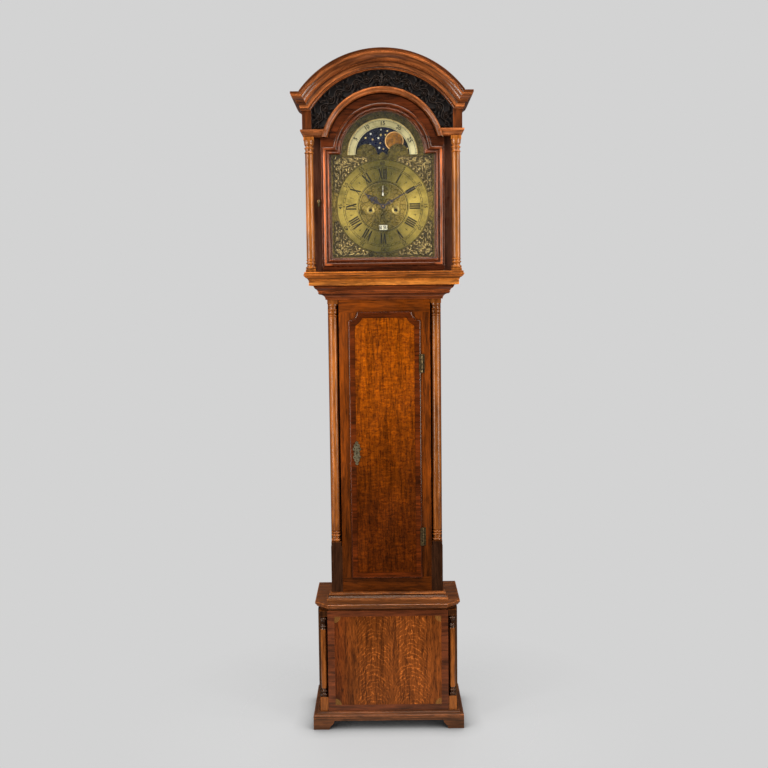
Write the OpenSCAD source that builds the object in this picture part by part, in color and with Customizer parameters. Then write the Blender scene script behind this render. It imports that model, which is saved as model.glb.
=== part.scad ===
// Longcase clock with an arched hood, moon dial and eight-day striking movement.
// Millimetres, +Z up, front towards -Y. Origin: middle of the footprint, on the floor.
// Depths are measured forwards from the back of the case and written d.

/* [Base] */
// Height of the bracket feet
foot_h = 38; // [30:1:60]
// Height of the plinth moulding
plinth_h = 18; // [14:1:30]
// How far the plinth moulding stands out
plinth_out = 18; // [12:1:24]
// Height of the base between its mouldings
base_h = 338.5; // [300:0.5:420]
// How far each side of the base stands in from the side of the hood
base_in = 8; // [0:1:20]
// Depth of the base
base_d = 250; // [240:1:290]
// Thickness of the base boards
base_board = 16; // [12:1:20]
// Height of the moulded slab on top of the base
slab_h = 24; // [16:1:30]
// Cut of the slab's two canted front corners
slab_cant = 33; // [20:1:45]
// Radius of the base corner columns
base_col_r = 10; // [7:0.5:11]

/* [Trunk] */
// Height of the moulding round the foot of the trunk
trunk_foot_h = 26.5; // [20:0.5:34]
// How far that moulding stands out
trunk_foot_out = 16; // [8:0.5:20]
// How far each side of the trunk stands in from the side of the hood
trunk_in = 53.4; // [44:0.2:60]
// Depth of the trunk
trunk_d = 202; // [190:1:215]
// Thickness of the trunk side boards
side_t = 14.6; // [12:0.2:18]
// Radius of the trunk columns
trunk_col_r = 15.2; // [11:0.2:16]
// Height of the square block under each trunk column
col_block_h = 195.5; // [120:0.5:240]
// Height of the throat moulding
throat_h = 45.6; // [36:0.2:60]
// How far the throat moulding stands out at its top
throat_out = 39.9; // [30:0.1:48]

/* [Trunk door] */
// Width of the trunk front beside the door
door_side = 67.9; // [60:0.1:90]
// Height of the trunk door over its lip
door_h = 881.5; // [760:0.5:900]
// Gap from the foot of the trunk up to the door
door_up = 72; // [50:0.5:80]
// Gap from the door up to the throat moulding
door_over = 40; // [30:1:60]
// Thickness of the door's moulded lip
lip_t = 6; // [4:0.5:8]
// Radius of the scooped top corners
scoop_r = 28; // [15:1:40]
// Length of the hinges
hinge_len = 60; // [40:1:80]
// Radius of the hinge knuckles
knuckle_r = 3.2; // [2.8:0.1:4]
// Height of the keyhole above the foot of the door
key_up = 420; // [300:1:560]

/* [Hood] */
// Height of the hood's base moulding
hood_base_h = 43; // [36:1:60]
// Depth of the hood, back plane to frieze face
hood_d = 249; // [244:1:270]
// Width of the hood door's stiles
stile_w = 27; // [24:1:34]
// Height of the hood door's bottom rail
rail_h = 39; // [30:1:50]
// Height of the door's shoulder over the spring of its arch
shoulder_h = 51; // [44:1:60]
// Height of the architrave over the columns
architrave_h = 23; // [18:1:30]
// Height of the frieze posts
frieze_h = 58; // [50:1:70]
// Height of the cornice
cornice_h = 54; // [44:1:64]
// How far the cornice stands out
cornice_out = 33.4; // [26:0.2:40]
// Rise of the frieze arch over the cornice foot
arch_rise = 125; // [118:1:135]
// Radius of the hood columns
hood_col_r = 13; // [8:0.5:13.5]
// Thickness of the hood boards
hood_board = 14; // [10:1:16]

/* [Dial] */
// Width of the square part of the dial
dial_w = 330; // [310:1:350]
// Outer radius of the chapter ring
chapter_r = 148.8; // [142:0.1:152]
// Inner radius of the chapter ring
chapter_in_r = 75.3; // [70:0.1:90]
// Outer radius of the lunar ring
lunar_r = 112; // [106:0.5:118]
// Radius of the window over the moon disc
moon_window_r = 87; // [84:0.5:92]
// Distance of each winding hole to the side of the dial centre
wind_x = 40.6; // [39:0.1:43]
// Radius of the winding holes
wind_hole_r = 7; // [5:0.5:8]
// Distance of the winding holes below the dial centre
wind_drop = 11.5; // [9:0.1:14]
// Distance of the seconds centre above the dial centre
seconds_up = 48; // [46:0.1:49]
// Length of the minute hand from its centre
minute_len = 143; // [120:1:146]
// Length of the hour hand from its centre
hour_len = 80; // [65:1:95]

/* [Movement] */
// Gap between the two movement plates
plate_gap = 60; // [60:1:66]
// Length of the pendulum from its pivot to the bob's centre
pendulum_len = 994; // [940:1:1040]
// Radius of the pendulum bob
bob_r = 58; // [45:1:64]
// Radius of each weight
weight_r = 30; // [24:0.5:34]
// Height of each weight
weight_h = 200; // [150:1:230]
// Radius of the barrels at the line
barrel_r = 22; // [19:0.5:23]
// Radius of the weight pulleys
pulley_r = 24; // [20:0.5:27]
// Radius of the gut line
line_r = 0.8; // [0.5:0.1:1]
// Radius of the bell
bell_r = 48; // [38:1:54]

/* [Hidden] */
$fn = 64;

// Clearances
fit = 0.06;
gap = 0.4;

// Heights of the case, stacked from the floor
z_plinth = foot_h;
z_base = z_plinth + plinth_h;
z_slab = z_base + base_h;
z_trunk = z_slab + slab_h;
trunk_h = door_up + door_h + door_over;
z_throat = z_trunk + trunk_h;
z_hood = z_throat + throat_h;
z_col = z_hood + hood_base_h;

// The dial sits in the hood door, and the hood grows with it
sight = dial_w / 2 + 3;
door_half = sight + stile_w;
col_x = door_half + 37;
side_x = col_x + 6;
face_x = col_x + 19.6;
z_door = z_col + 1;
z_sight = z_door + rail_h;
dial_z = z_sight + 4 + dial_w / 2;
sight_r = dial_w / 2 - 30.3;
z_spring = dial_z + dial_w / 2 - 3;
z_arch = z_spring + shoulder_h;
z_frieze = z_arch + architrave_h;
z_cornice = z_frieze + frieze_h;
z_eaves = z_cornice + cornice_h;

// Arches: the hood door's, the moulding round it and the cornice above the frieze
door_arch_z = z_spring + 9.5;
door_arch_r = sight_r + 40.3;
ring_r = door_arch_r + 2;
ring_w = 17.6;
frieze_half = face_x - 26.6;
frieze_r = (frieze_half * frieze_half + arch_rise * arch_rise) / (2 * arch_rise);
cornice_arch_z = z_cornice + arch_rise - frieze_r;
cornice_w = 59;

// Depths
back_y = (hood_d + cornice_out) / 2;
back_t = 14;
hood_back = back_t + 2;
mask_d = hood_d - 27;
door_d = hood_d - 9;
door_back = mask_d + 1;
hood_col_d = hood_d - 9;
dial_d = hood_d - 59;
dial_t = 2.5;
trunk_half = side_x - trunk_in;
inner_half = trunk_half - side_t;
base_half = side_x - base_in;
hood_fascia_x = col_x + 7;
hood_fascia_d = hood_d + 5;

// Trunk door and its opening
door_x = trunk_half - door_side;
z_td = z_trunk + door_up;
opening_x = door_x - 5.7;
opening_inset = 5.5;
door_gap = 1.4;
hinge_x = door_x + knuckle_r + 0.2;
hinge_d = trunk_d + knuckle_r + 0.4;
hinge_r = 1.4;
hinge_zs = [z_td + 139 - hinge_len / 2, z_td + 712 - hinge_len / 2];
leaf_t = 1.2;
key_x = -(door_x - 21.7);
key_z = z_td + key_up;
lock_d = trunk_d - 18 - 12;
bolt_size = [34, 9, 4];

// Hood door pivots
pivot = [door_half - 4, door_d - 4];
pivot_r = 2;
pivot_deep = 8;

// Movement plates and seat
plate_t = 3;
front_d = dial_d - 43;
rear_d = front_d - plate_gap;
seat_t = 18;
plate_half = wind_x + 43;
plate_z0 = dial_z - 62;
plate_h = 174;
seat_z = plate_z0;
pend_d = rear_d - 22;

// Arbor centres as [x, z]; each wheel's module follows from its centre distance
centre = [0, dial_z];
going = [wind_x, dial_z - wind_drop];
strike = [-wind_x, dial_z - wind_drop];
escape = [0, dial_z + seconds_up];
great_n = 96;
centre_leaves = 8;
great_m = 2 * dist(going, centre) / (great_n + centre_leaves);
centre_n = 60;
third_leaves = 8;
third_n = 56;
escape_leaves = 7;
going_m = 2 * seconds_up / (centre_n + third_leaves + third_n + escape_leaves) * 1.024;
third = meet(centre, escape, going_m * (centre_n + third_leaves) / 2, going_m * (third_n + escape_leaves) / 2);
strike_m = 0.8;
strike_n = 78;
pin_leaves = 8;
pin_m = 0.7;
pin_n = 64;
warn_leaves = 8;
warn_m = 0.6;
warn_n = 56;
fly_leaves = 7;
pin = polar(strike, strike_m * (strike_n + pin_leaves) / 2, 80);
warn = polar(pin, pin_m * (pin_n + warn_leaves) / 2, 70);
fly = polar(warn, warn_m * (warn_n + fly_leaves) / 2, 120);
escape_n = 30;
escape_r = 18;
pallet = [0, escape[1] + 1.5 * escape_r];
motion_n = [36, 54, 64];
motion_leaves = 8;
motion_c = 24;
minute_axis = [0, dial_z - motion_c];
cannon_m = 2 * motion_c / (motion_n[0] + motion_n[1]);
hour_m = 2 * motion_c / (motion_n[2] + motion_leaves);
hammer_axis = [-wind_x - 14.4, dial_z + 90];
bell_z = plate_z0 + plate_h + 18;
bell_d = (front_d + rear_d) / 2;

// Wheel planes, as depths between the plates
arbor_r = 2;
pivot_pin_r = 1;
fly_arbor_r = 1.3;
barrel_arbor_r = 4;
winding_square = 5.6;
great_d = front_d - 12;
drum_d = [rear_d + 20, front_d - 14.5];
centre_d = rear_d + 11;
third_d = rear_d + 17;
escape_d = rear_d + 25;
pin_d = rear_d + 3.5;
warn_d = rear_d + 31;
motion_d = front_d + 6;
hour_d = front_d + 11;
hammer_d = rear_d + 9;

// Date and moon work behind the dial
date_r = [55, 79];
date_n = 62;
moon = [0, dial_z + dial_w / 2 - 1];
moon_r = moon_window_r + 5;
moon_n = 118;
hump_r = 34;
hump_x = 50.5;
date_d = dial_d - dial_t - 1.6;
moon_d = date_d - 3.6;

// Weights and lines: both lines leave the left side of their barrels
function fall(x) = x - barrel_r - line_r - 0.3;
fall_gap = 2 * (pulley_r + line_r + 0.1);
line_d = (drum_d[0] + drum_d[1]) / 2;
line_z = seat_z - seat_t;
pulley_z = line_z - 90;

// Time shown: ten past ten
minute_angle = 30;
hour_angle = 145;
seconds_angle = 90;

function dist(a, b) = norm(a - b);
function polar(c, r, a) = [c[0] + r * cos(a), c[1] + r * sin(a)];
function dir(a, b) = atan2(b[1] - a[1], b[0] - a[0]);
// The point ra from a and rb from b, on the right of the line from a to b
function meet(a, b, ra, rb) = let (c = dist(a, b), k = (ra * ra - rb * rb + c * c) / (2 * ra * c))
    polar(a, ra, dir(a, b) - acos(k));

// Moulding curves as [out, up] points from one corner to the next
function ogee(a, b, n = 8) = [for (i = [0:n]) let (t = i / n)
    [a[0] + (b[0] - a[0]) * (t - sin(360 * t) / 7), a[1] + (b[1] - a[1]) * t]];
function cove(a, b, n = 6) = [for (i = [0:n]) let (t = 90 * i / n)
    [a[0] + (b[0] - a[0]) * (1 - cos(t)), a[1] + (b[1] - a[1]) * sin(t)]];
function ovolo(a, b, n = 6) = [for (i = [0:n]) let (t = 90 * i / n)
    [a[0] + (b[0] - a[0]) * sin(t), a[1] + (b[1] - a[1]) * (1 - cos(t))]];
function bead(a, b, n = 6) = let (c = (a + b) / 2, r = norm(b - a) / 2)
    [for (i = [0:n]) let (t = -90 + 180 * i / n) [c[0] + r * cos(t), c[1] + r * sin(t)]];
function grow(pts, s, h) = [for (p = pts) [p[0] * s, p[1] * h]];

plinth_profile = concat([[plinth_out, 0]], [[plinth_out, plinth_h * 0.36]],
    ogee([plinth_out - 2, plinth_h * 0.42], [4, plinth_h - 3]), [[3, plinth_h - 3]], [[3, plinth_h]]);
slab_profile = concat([[0, 0]], ogee([1, 0], [12, slab_h * 0.5]), [[14, slab_h * 0.55]],
    ovolo([14, slab_h * 0.6], [17, slab_h * 0.78]), [[17, slab_h - 1.5]], [[15.6, slab_h]]);
foot_profile = grow(concat([[10, 0]], [[10, 5]], ogee([8.4, 6.4], [4.4, 14]), [[5.4, 14.6]],
    bead([3.4, 15.4], [3.4, 19.4]), [[1.6, 20.4]], [[1.6, 23]]), trunk_foot_out / 10, trunk_foot_h / 23);
throat_profile = let (s = throat_out / 39.9, h = throat_h / 45.6) grow(concat([[4.8, 0]],
    cove([4.8, 1.5], [23, 17]), [[24.4, 17]], [[24.4, 18.6]], bead([24.4, 19], [24.4, 25]), [[28.4, 26]],
    ogee([28.4, 27.5], [38.6, 40.5]), [[39.9, 40.9]], [[39.9, 45.6]]), s, h);
hood_base_profile = let (h = hood_base_h / 43) grow(concat([[0, 0]], [[0, 16.5]], [[1.6, 16.5]],
    [[1.6, 18.4]], ogee([2.4, 18.8], [12, 28.4]), [[14.6, 29]], bead([12.6, 30.4], [12.6, 36.8]),
    [[13.4, 38.4]], [[13.4, 41.5]], [[11.8, 43]]), 1, h);
architrave_profile = let (h = architrave_h / 23) grow(concat([[-6, 0]], [[-6, 2.6]], [[-3.4, 3]],
    [[-3.4, 5.4]], ogee([-2.6, 6], [4, 15.2]), [[5, 15.8]], ovolo([5, 16.6], [6.4, 18]), [[6.4, 21.6]],
    [[5, 23]]), 1, h);
cornice_profile = grow(concat([[3, 0]], bead([3, 1.2], [3, 6.6]), [[6, 7.4]], [[6, 10]],
    cove([6.6, 10], [13.2, 20]), [[15.4, 20.4]], [[15.4, 23.4]], ogee([16.4, 24], [30, 42.6], 10),
    [[31.6, 43]], [[31.6, 45]], ovolo([31.6, 46], [33.4, 48]), [[33.4, 53]], [[32, 54]]),
    cornice_out / 33.4, cornice_h / 54);

// Front view placing: 2D x is the clock's x, 2D y its height, extrusion goes forwards from depth d
module front(d) {
    translate([0, back_y - d, 0]) rotate([90, 0, 0]) children();
}
module at(p, d) {
    front(d) translate([p[0], p[1], 0]) children();
}
module pair() {
    children();
    mirror([1, 0, 0]) children();
}
// A board between two corners given as [x, d, z]
module board(a, b) {
    translate([a[0], back_y - b[1], a[2]]) cube([b[0] - a[0], b[1] - a[1], b[2] - a[2]]);
}
// A turned piece standing at [x, d] from height z, with its profile as [radius, up]
module turned(x, d, z, pts) {
    translate([x, back_y - d, z]) rotate_extrude($fn = 48) polygon(concat([[0, 0]], pts, [[0, pts[len(pts) - 1][1]]]));
}
// A straight moulding whose face looks along -Y
module edge_run(pts, h, reach = 900) {
    rotate([90, 0, -90]) linear_extrude(reach, center = true)
        polygon(concat([[-reach, 0]], pts, [[-reach, h]]));
}
// A slab with the moulding on its front and sides, mitred, and canted front corners if asked for
module moulded_slab(pts, h, half, depth, z, cant = 0) {
    intersection() {
        translate([0, back_y - depth, z]) edge_run(pts, h);
        translate([half, 0, z]) rotate([0, 0, 90]) edge_run(pts, h);
        translate([-half, 0, z]) rotate([0, 0, -90]) edge_run(pts, h);
        if (cant > 0) translate([half - cant, back_y - depth, z]) rotate([0, 0, 45]) edge_run(pts, h);
        if (cant > 0) translate([cant - half, back_y - depth, z]) rotate([0, 0, -45]) edge_run(pts, h);
        translate([-half - 60, back_y - depth - 60, z]) cube([2 * half + 120, depth + 60, h]);
    }
}
// A moulding ring round [0, z], its profile going outwards from radius r, its back at depth d0
module ring_run(pts, r, z, d0, face) {
    at([0, z], 0) rotate_extrude($fn = 180) polygon(concat([[r, d0]],
        [for (p = pts) [r + p[1], face + p[0]]], [[r + pts[len(pts) - 1][1], d0]]));
}

// Outline of a rectangle with a round arch on it
module arched(half, z0, z1, r, rz) {
    translate([-half, z0]) square([2 * half, z1 - z0]);
    intersection() {
        translate([0, rz]) circle(r, $fn = 120);
        translate([-half, z0]) square([2 * half, rz + r - z0 + 1]);
    }
}

// Outline with straight sides up into the curve of the cornice arch
module under_arch(half, z0, r) {
    intersection() {
        translate([-half, z0]) square([2 * half, cornice_arch_z + r - z0]);
        union() {
            translate([0, cornice_arch_z]) circle(r, $fn = 180);
            translate([-half, z0]) square([2 * half, cornice_arch_z - z0]);
        }
    }
}

// Teeth of a clock wheel: straight flanks, pointed tips, thin enough to run with shake
function teeth(n, m, share, up, down) = [for (i = [0:n - 1]) let (a = 360 * i / n, w = 180 / n * share, r = n * m / 2)
    each [polar([0, 0], r - down * m, a - w), polar([0, 0], r, a - w), polar([0, 0], r + up * m * 0.7, a - w * 0.55),
        polar([0, 0], r + up * m, a), polar([0, 0], r + up * m * 0.7, a + w * 0.55), polar([0, 0], r, a + w),
        polar([0, 0], r - down * m, a + w)]];
module wheel(n, m, t, hub, arm) {
    rim = n * m / 2 - 1.3 * m - 2.4;
    linear_extrude(t) difference() {
        polygon(teeth(n, m, 0.36, 0.8, 1.3));
        difference() {
            circle(rim);
            circle(hub, $fn = 32);
            for (a = [45, 135]) rotate(a) square([2 * rim + 2, arm], center = true);
        }
    }
}
module pinion(n, m, t) {
    linear_extrude(t) polygon(teeth(n, m, 0.28, 0.45, 1.25));
}
// An arbor across the plates with its two pivots
module arbor(ahead = 0, r = arbor_r) {
    translate([0, 0, rear_d + 0.3]) cylinder(r = r, h = plate_gap - 0.6);
    translate([0, 0, rear_d - plate_t]) cylinder(r = pivot_pin_r, h = plate_gap + 2 * plate_t + ahead);
}

// Case

module backboard() color("saddlebrown") front(0) linear_extrude(back_t) {
    translate([-base_half + base_board, z_plinth]) square([2 * (base_half - base_board), base_h + plinth_h]);
    translate([-inner_half, z_slab]) square([2 * inner_half, z_hood - z_slab + 2]);
    under_arch(side_x - 2, z_hood + 1, frieze_r + 34);
}

module base_boards() color("sienna") {
    col = base_half - 18;
    rebate = base_d - 32;
    pair() board([base_half - base_board, 0, z_plinth], [base_half, rebate, z_slab]);
    pair() board([col - 16, rebate - 14, z_base], [base_half - base_board, rebate, z_slab]);
    board([-base_half, rebate - 14, z_plinth], [base_half, base_d, z_base]);
    board([-base_half + base_board, back_t, z_plinth + 6], [base_half - base_board, rebate - 14, z_plinth + 20]);
}

frame_x = base_half - 32;
panel_x = base_half - 54;
module panel_field() translate([-panel_x, z_base + 20]) square([2 * panel_x, base_h - 39]);

module base_front_frame() color([0.29, 0.13, 0.08]) front(base_d - 20) linear_extrude(20) difference() {
    translate([-frame_x, z_base]) square([2 * frame_x, base_h]);
    panel_field();
}
module base_front_panel() color([0.55, 0.31, 0.14]) front(base_d - 18) linear_extrude(17.2) panel_field();

// One base column: square foot, turned base, shaft, turned cap and square cap block
module base_column() {
    r = base_col_r;
    x = base_half - 18;
    d = base_d - 15;
    block = base_col_r + 2.8;
    z1 = z_base + 46;
    z2 = z_slab - 18.5;
    board([x - block, d - block, z_base], [x + block, d + block, z1]);
    turned(x, d, z1, concat([[r + 2, 0]], [[r + 2, 4]], bead([r, 5], [r, 11]), [[r - 2, 13]], [[r - 2, 15]],
        bead([r - 1, 16], [r - 1, 22]), [[r - 2, 24]], [[r, 30]], [[r, z2 - z1 - 46]], [[r - 2, z2 - z1 - 40]],
        bead([r - 1, z2 - z1 - 38], [r - 1, z2 - z1 - 32]), [[r - 2, z2 - z1 - 29]],
        cove([r - 2, z2 - z1 - 24], [r + 1.4, z2 - z1 - 14]), bead([r, z2 - z1 - 12], [r, z2 - z1 - 6]),
        [[r + 2, z2 - z1 - 4]], [[r + 2, z2 - z1]]));
    board([x - block, d - block, z2], [x + block, d + block, z_slab]);
}
module base_columns() color([0.45, 0.22, 0.1]) pair() base_column();

module plinth_moulding() color([0.36, 0.18, 0.1]) difference() {
    moulded_slab(plinth_profile, plinth_h, base_half, base_d, z_plinth);
    board([-base_half, -1, z_plinth - 1], [base_half, base_d, z_base + 1]);
}

// Bracket skirt as seen from one face: feet with an ogee inner edge and a shallow apron
module skirt(half, apron, foot) {
    edge = ogee([half - foot, 0], [half - foot - 16, apron]);
    polygon(concat([[half, 0], [half, foot_h], [-half, foot_h], [-half, 0]],
        [for (i = [0:len(edge) - 1]) [-edge[i][0], edge[i][1]]], [for (i = [len(edge) - 1:-1:0]) edge[i]]));
}
module bracket_feet() color([0.36, 0.18, 0.1]) {
    out = base_half + plinth_out;
    front_face = base_d + plinth_out;
    mid = front_face / 2;
    front(front_face - 18) linear_extrude(18) skirt(out, foot_h * 0.78, 52);
    pair() intersection() {
        translate([out - 18, back_y - mid, 0]) rotate([90, 0, 90]) linear_extrude(18) skirt(mid, foot_h * 0.78, 46);
        board([out - 18, 0, 0], [out, front_face - 18, foot_h]);
    }
    for (d = [6, base_d - 34]) pair() board([base_half - 34, d, 1], [out - 18, d + 34, foot_h]);
}

module base_top_mouldings() color([0.4, 0.2, 0.1]) {
    difference() {
        moulded_slab(slab_profile, slab_h, base_half - 7.4, base_d - 5, z_slab, slab_cant);
        board([-trunk_half, -1, z_slab - 1], [trunk_half, trunk_d + 1, z_trunk + 1]);
    }
    difference() {
        intersection() {
            moulded_slab(foot_profile, trunk_foot_h, trunk_half, trunk_d + 1, z_trunk);
            board([-base_half, trunk_d - 28, z_trunk], [base_half, trunk_d + 40, z_throat]);
        }
        board([-trunk_half, 0, z_trunk - 1], [trunk_half, trunk_d + 1, z_throat]);
    }
}

trunk_post_x = trunk_half - 2 * trunk_col_r - 6.6;
trunk_col_d = trunk_d - trunk_col_r + 0.2;

module trunk_front_frame() color([0.42, 0.22, 0.11]) front(trunk_d - 18) linear_extrude(18) difference() {
    translate([-trunk_post_x, z_slab]) square([2 * trunk_post_x, z_throat - z_slab]);
    difference() {
        translate([-opening_x, z_td + opening_inset]) square([2 * opening_x, door_h - 2 * opening_inset]);
        for (s = [-1, 1]) translate([s * door_x, z_td + door_h]) circle(scoop_r + 4, $fn = 64);
    }
}

module trunk_sides() color([0.42, 0.22, 0.11]) pair() {
    rebate = trunk_col_d - trunk_col_r - 1.6;
    board([inner_half, 0, z_slab], [trunk_half, rebate, z_hood]);
    board([inner_half, back_t, z_hood], [trunk_half, rebate, seat_z - seat_t]);
    board([trunk_post_x - 8, rebate - 14, z_slab], [inner_half, rebate, z_throat]);
    board([trunk_post_x - 10, rebate - 14, z_slab], [trunk_post_x, trunk_d - 18, z_throat]);
}

// One trunk column: plain block, turned base, shaft, carved cap and abacus
module trunk_column() {
    r = trunk_col_r;
    x = trunk_half - r - 2.2;
    d = trunk_col_d;
    h = trunk_h - col_block_h - 14;
    board([trunk_post_x, d - r - 1.6, z_trunk], [trunk_half, trunk_d + 1, z_trunk + col_block_h - 15]);
    board([x - r - 1.2, d - r - 0.8, z_trunk + col_block_h - 15], [x + r + 1.2, d + r + 0.8, z_trunk + col_block_h]);
    turned(x, d, z_trunk + col_block_h, concat([[r + 1, 0]], bead([r - 2.8, 1], [r - 2.8, 9]), [[r - 3, 10]],
        cove([r - 2, 11], [r - 3, 17]), bead([r - 2.5, 18], [r - 2.5, 25]), [[r - 2.5, 27]],
        bead([r - 2.5, 28], [r - 2.5, 34]),
        [[r, 39]], [[r * 0.96, h - 43]], [[r - 2, h - 42]], bead([r - 2, h - 41], [r - 2, h - 36]), [[r - 2, h - 35]],
        ovolo([r - 3, h - 34], [r + 1, h - 24]), bead([r - 2, h - 22], [r - 2, h - 16]), [[r - 2, h - 15]],
        cove([r - 2, h - 13], [r + 1, h - 5]), [[r + 1, h]]));
    board([x - r - 1.8, d - r - 1.4, z_throat - 14], [x + r + 1.8, d + r + 1.4, z_throat]);
}
module trunk_columns() color([0.5, 0.26, 0.12]) pair() trunk_column();

module throat_moulding() color([0.3, 0.15, 0.08]) difference() {
    moulded_slab(throat_profile, throat_h, trunk_half, trunk_d, z_throat);
    board([-trunk_half, -1, z_throat - 1], [trunk_half, trunk_d - 18, z_hood + 1]);
}

module seatboard() color("peru") {
    difference() {
        board([-trunk_half, pend_d + 12, seat_z - seat_t], [trunk_half, front_d + 16, seat_z]);
        for (x = [fall(wind_x), fall(-wind_x)]) {
            board([x - 4, drum_d[0] - 2, line_z - 1], [x + 4, drum_d[1] + 2, seat_z + 1]);
            translate([x + fall_gap, back_y - line_d, line_z - 1]) cylinder(r = 2, h = seat_t + 2, $fn = 24);
        }
    }
    for (x = [fall(wind_x), fall(-wind_x)]) {
        translate([x, back_y - line_d, line_z]) cylinder(r = line_r, h = going[1] - line_z, $fn = 16);
        translate([x + fall_gap, back_y - line_d, line_z]) cylinder(r = line_r, h = seat_t + 3, $fn = 16);
        translate([x + fall_gap, back_y - line_d, seat_z]) cylinder(r = 4, h = 4, $fn = 24);
    }
}

// Trunk door and its ironmongery

// Door outline drawn in from its edge
module door_face(inset) {
    difference() {
        translate([-door_x + inset, z_td + inset]) square([2 * (door_x - inset), door_h - 2 * inset]);
        for (s = [-1, 1]) translate([s * door_x, z_td + door_h]) circle(scoop_r + inset, $fn = 64);
    }
}
lip_steps = [[0, 0.42], [0.5, 0.62], [1.4, 0.78], [2.6, 0.92], [4.4, 1]];

module trunk_door() color([0.52, 0.28, 0.1]) difference() {
    union() {
        front(trunk_d - 18) linear_extrude(18) intersection() {
            translate([-opening_x + door_gap, z_td + opening_inset + 0.7])
                square([2 * opening_x - door_gap - 0.7, door_h - 2 * opening_inset - 1.4]);
            door_face(4 + door_gap);
        }
        for (s = lip_steps) front(trunk_d) linear_extrude(lip_t * s[1]) door_face(s[0]);
    }
    for (z = hinge_zs) board([door_x - 5.5, trunk_d + lip_t, z], [door_x + 1, trunk_d + lip_t + 2, z + hinge_len]);
    at([key_x, key_z], trunk_d - 30) cylinder(r = 2.4, h = 60, $fn = 24);
    at([key_x, key_z], trunk_d - 30) translate([-1.2, -9, 0]) cube([2.4, 9, 60]);
}

// Knuckles of one hinge between two heights
module knuckle(z0, z1, r_in) {
    difference() {
        translate([hinge_x, back_y - hinge_d, z0]) cylinder(r = knuckle_r, h = z1 - z0, $fn = 32);
        translate([hinge_x, back_y - hinge_d, z0 - 1]) cylinder(r = r_in, h = z1 - z0 + 2, $fn = 32);
    }
}
module trunk_hinge_leaves() color("goldenrod") for (z = hinge_zs) {
    third_len = hinge_len / 3;
    for (k = [0, 2]) knuckle(z + k * third_len, z + (k + 1) * third_len, hinge_r - 0.1);
    translate([hinge_x, back_y - hinge_d, z]) cylinder(r = hinge_r, h = hinge_len, $fn = 32);
    difference() {
        board([hinge_x, trunk_d, z], [hinge_x + 9, trunk_d + leaf_t, z + hinge_len]);
        board([hinge_x - 1, trunk_d - 1, z + third_len - gap],
            [hinge_x + knuckle_r + gap, trunk_d + 9, z + 2 * third_len + gap]);
    }
}
module door_hinge_leaves() color("goldenrod") for (z = hinge_zs) {
    third_len = hinge_len / 3;
    face = trunk_d + lip_t;
    knuckle(z + third_len + gap, z + 2 * third_len - gap, hinge_r + fit);
    board([door_x - 5.5, face, z], [door_x, face + leaf_t, z + hinge_len]);
    difference() {
        board([door_x - 1, face, z + third_len + gap], [hinge_x, face + leaf_t, z + 2 * third_len - gap]);
        translate([hinge_x, back_y - hinge_d, z]) cylinder(r = hinge_r + fit, h = hinge_len, $fn = 32);
    }
}

// Escutcheon: lobed plate with pierced scrolls round the keyhole
module escutcheon() color("goldenrod") at([key_x, key_z], trunk_d + lip_t) linear_extrude(1.4) difference() {
    union() {
        circle(10, $fn = 48);
        for (s = [-1, 1]) translate([s * 6.5, 14]) circle(6.5, $fn = 32);
        for (s = [-1, 1]) translate([s * 6.5, -13]) circle(6, $fn = 32);
        for (s = [-1, 1]) translate([s * 4.5, 25]) circle(5.5, $fn = 32);
        translate([0, 34]) circle(5, $fn = 32);
        for (s = [-1, 1]) translate([s * 3.6, -23]) circle(5, $fn = 32);
        translate([0, -34]) circle(5, $fn = 32);
        translate([-4, -38]) square([8, 75]);
    }
    circle(2.2, $fn = 24);
    translate([-1.1, -8]) square([2.2, 8]);
    for (s = [-1, 1]) translate([s * 8, 15]) circle(2.2, $fn = 24);
    for (s = [-1, 1]) translate([s * 7, -14]) circle(2, $fn = 24);
    translate([0, 26]) circle(2, $fn = 24);
    translate([0, -25]) circle(2, $fn = 24);
}

lock_size = [46, 62, 12];
module trunk_lock() color("dimgray") difference() {
    union() {
        at([-opening_x + 0.7, key_z - lock_size[1] / 2], lock_d) cube(lock_size);
        at([key_x, key_z], lock_d) cylinder(r = 1.6, h = 26, $fn = 24);
    }
    at([-opening_x - 1, key_z - bolt_size[1] / 2 + 12 - gap], lock_d + 4 - gap)
        cube([bolt_size[0] + 12, bolt_size[1] + 2 * gap, bolt_size[2] + 2 * gap]);
}
module lock_bolt() color("silver")
    at([-opening_x + 0.7, key_z - bolt_size[1] / 2 + 12], lock_d + 4) cube(bolt_size);

// Hood

module hood_base_moulding() color([0.45, 0.22, 0.1]) difference() {
    moulded_slab(hood_base_profile, hood_base_h, hood_fascia_x, hood_fascia_d, z_hood);
    board([-trunk_half - 21, -1, z_hood - 1], [trunk_half + 21, mask_d - 8, z_col + 1]);
    board([-900, -1, z_hood - 1], [900, hood_back, z_col + 1]);
    translate([pivot[0], back_y - pivot[1], z_col - pivot_deep]) cylinder(r = pivot_r + fit, h = 20, $fn = 32);
}

roof_r = frieze_r + cornice_w - 8;
module hood_sides() color([0.45, 0.22, 0.1]) pair() {
    board([side_x - hood_board, hood_back, z_col], [side_x, mask_d - 16, z_cornice]);
    board([side_x, hood_back, z_frieze], [face_x, mask_d, z_cornice]);
    board([frieze_half - 2, mask_d, z_frieze], [face_x, hood_d, z_cornice]);
    intersection() {
        board([side_x - hood_board, hood_back, z_cornice], [side_x, mask_d - 16, z_cornice + 200]);
        front(0) linear_extrude(300) translate([0, cornice_arch_z]) circle(roof_r - 9, $fn = 120);
    }
}

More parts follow.
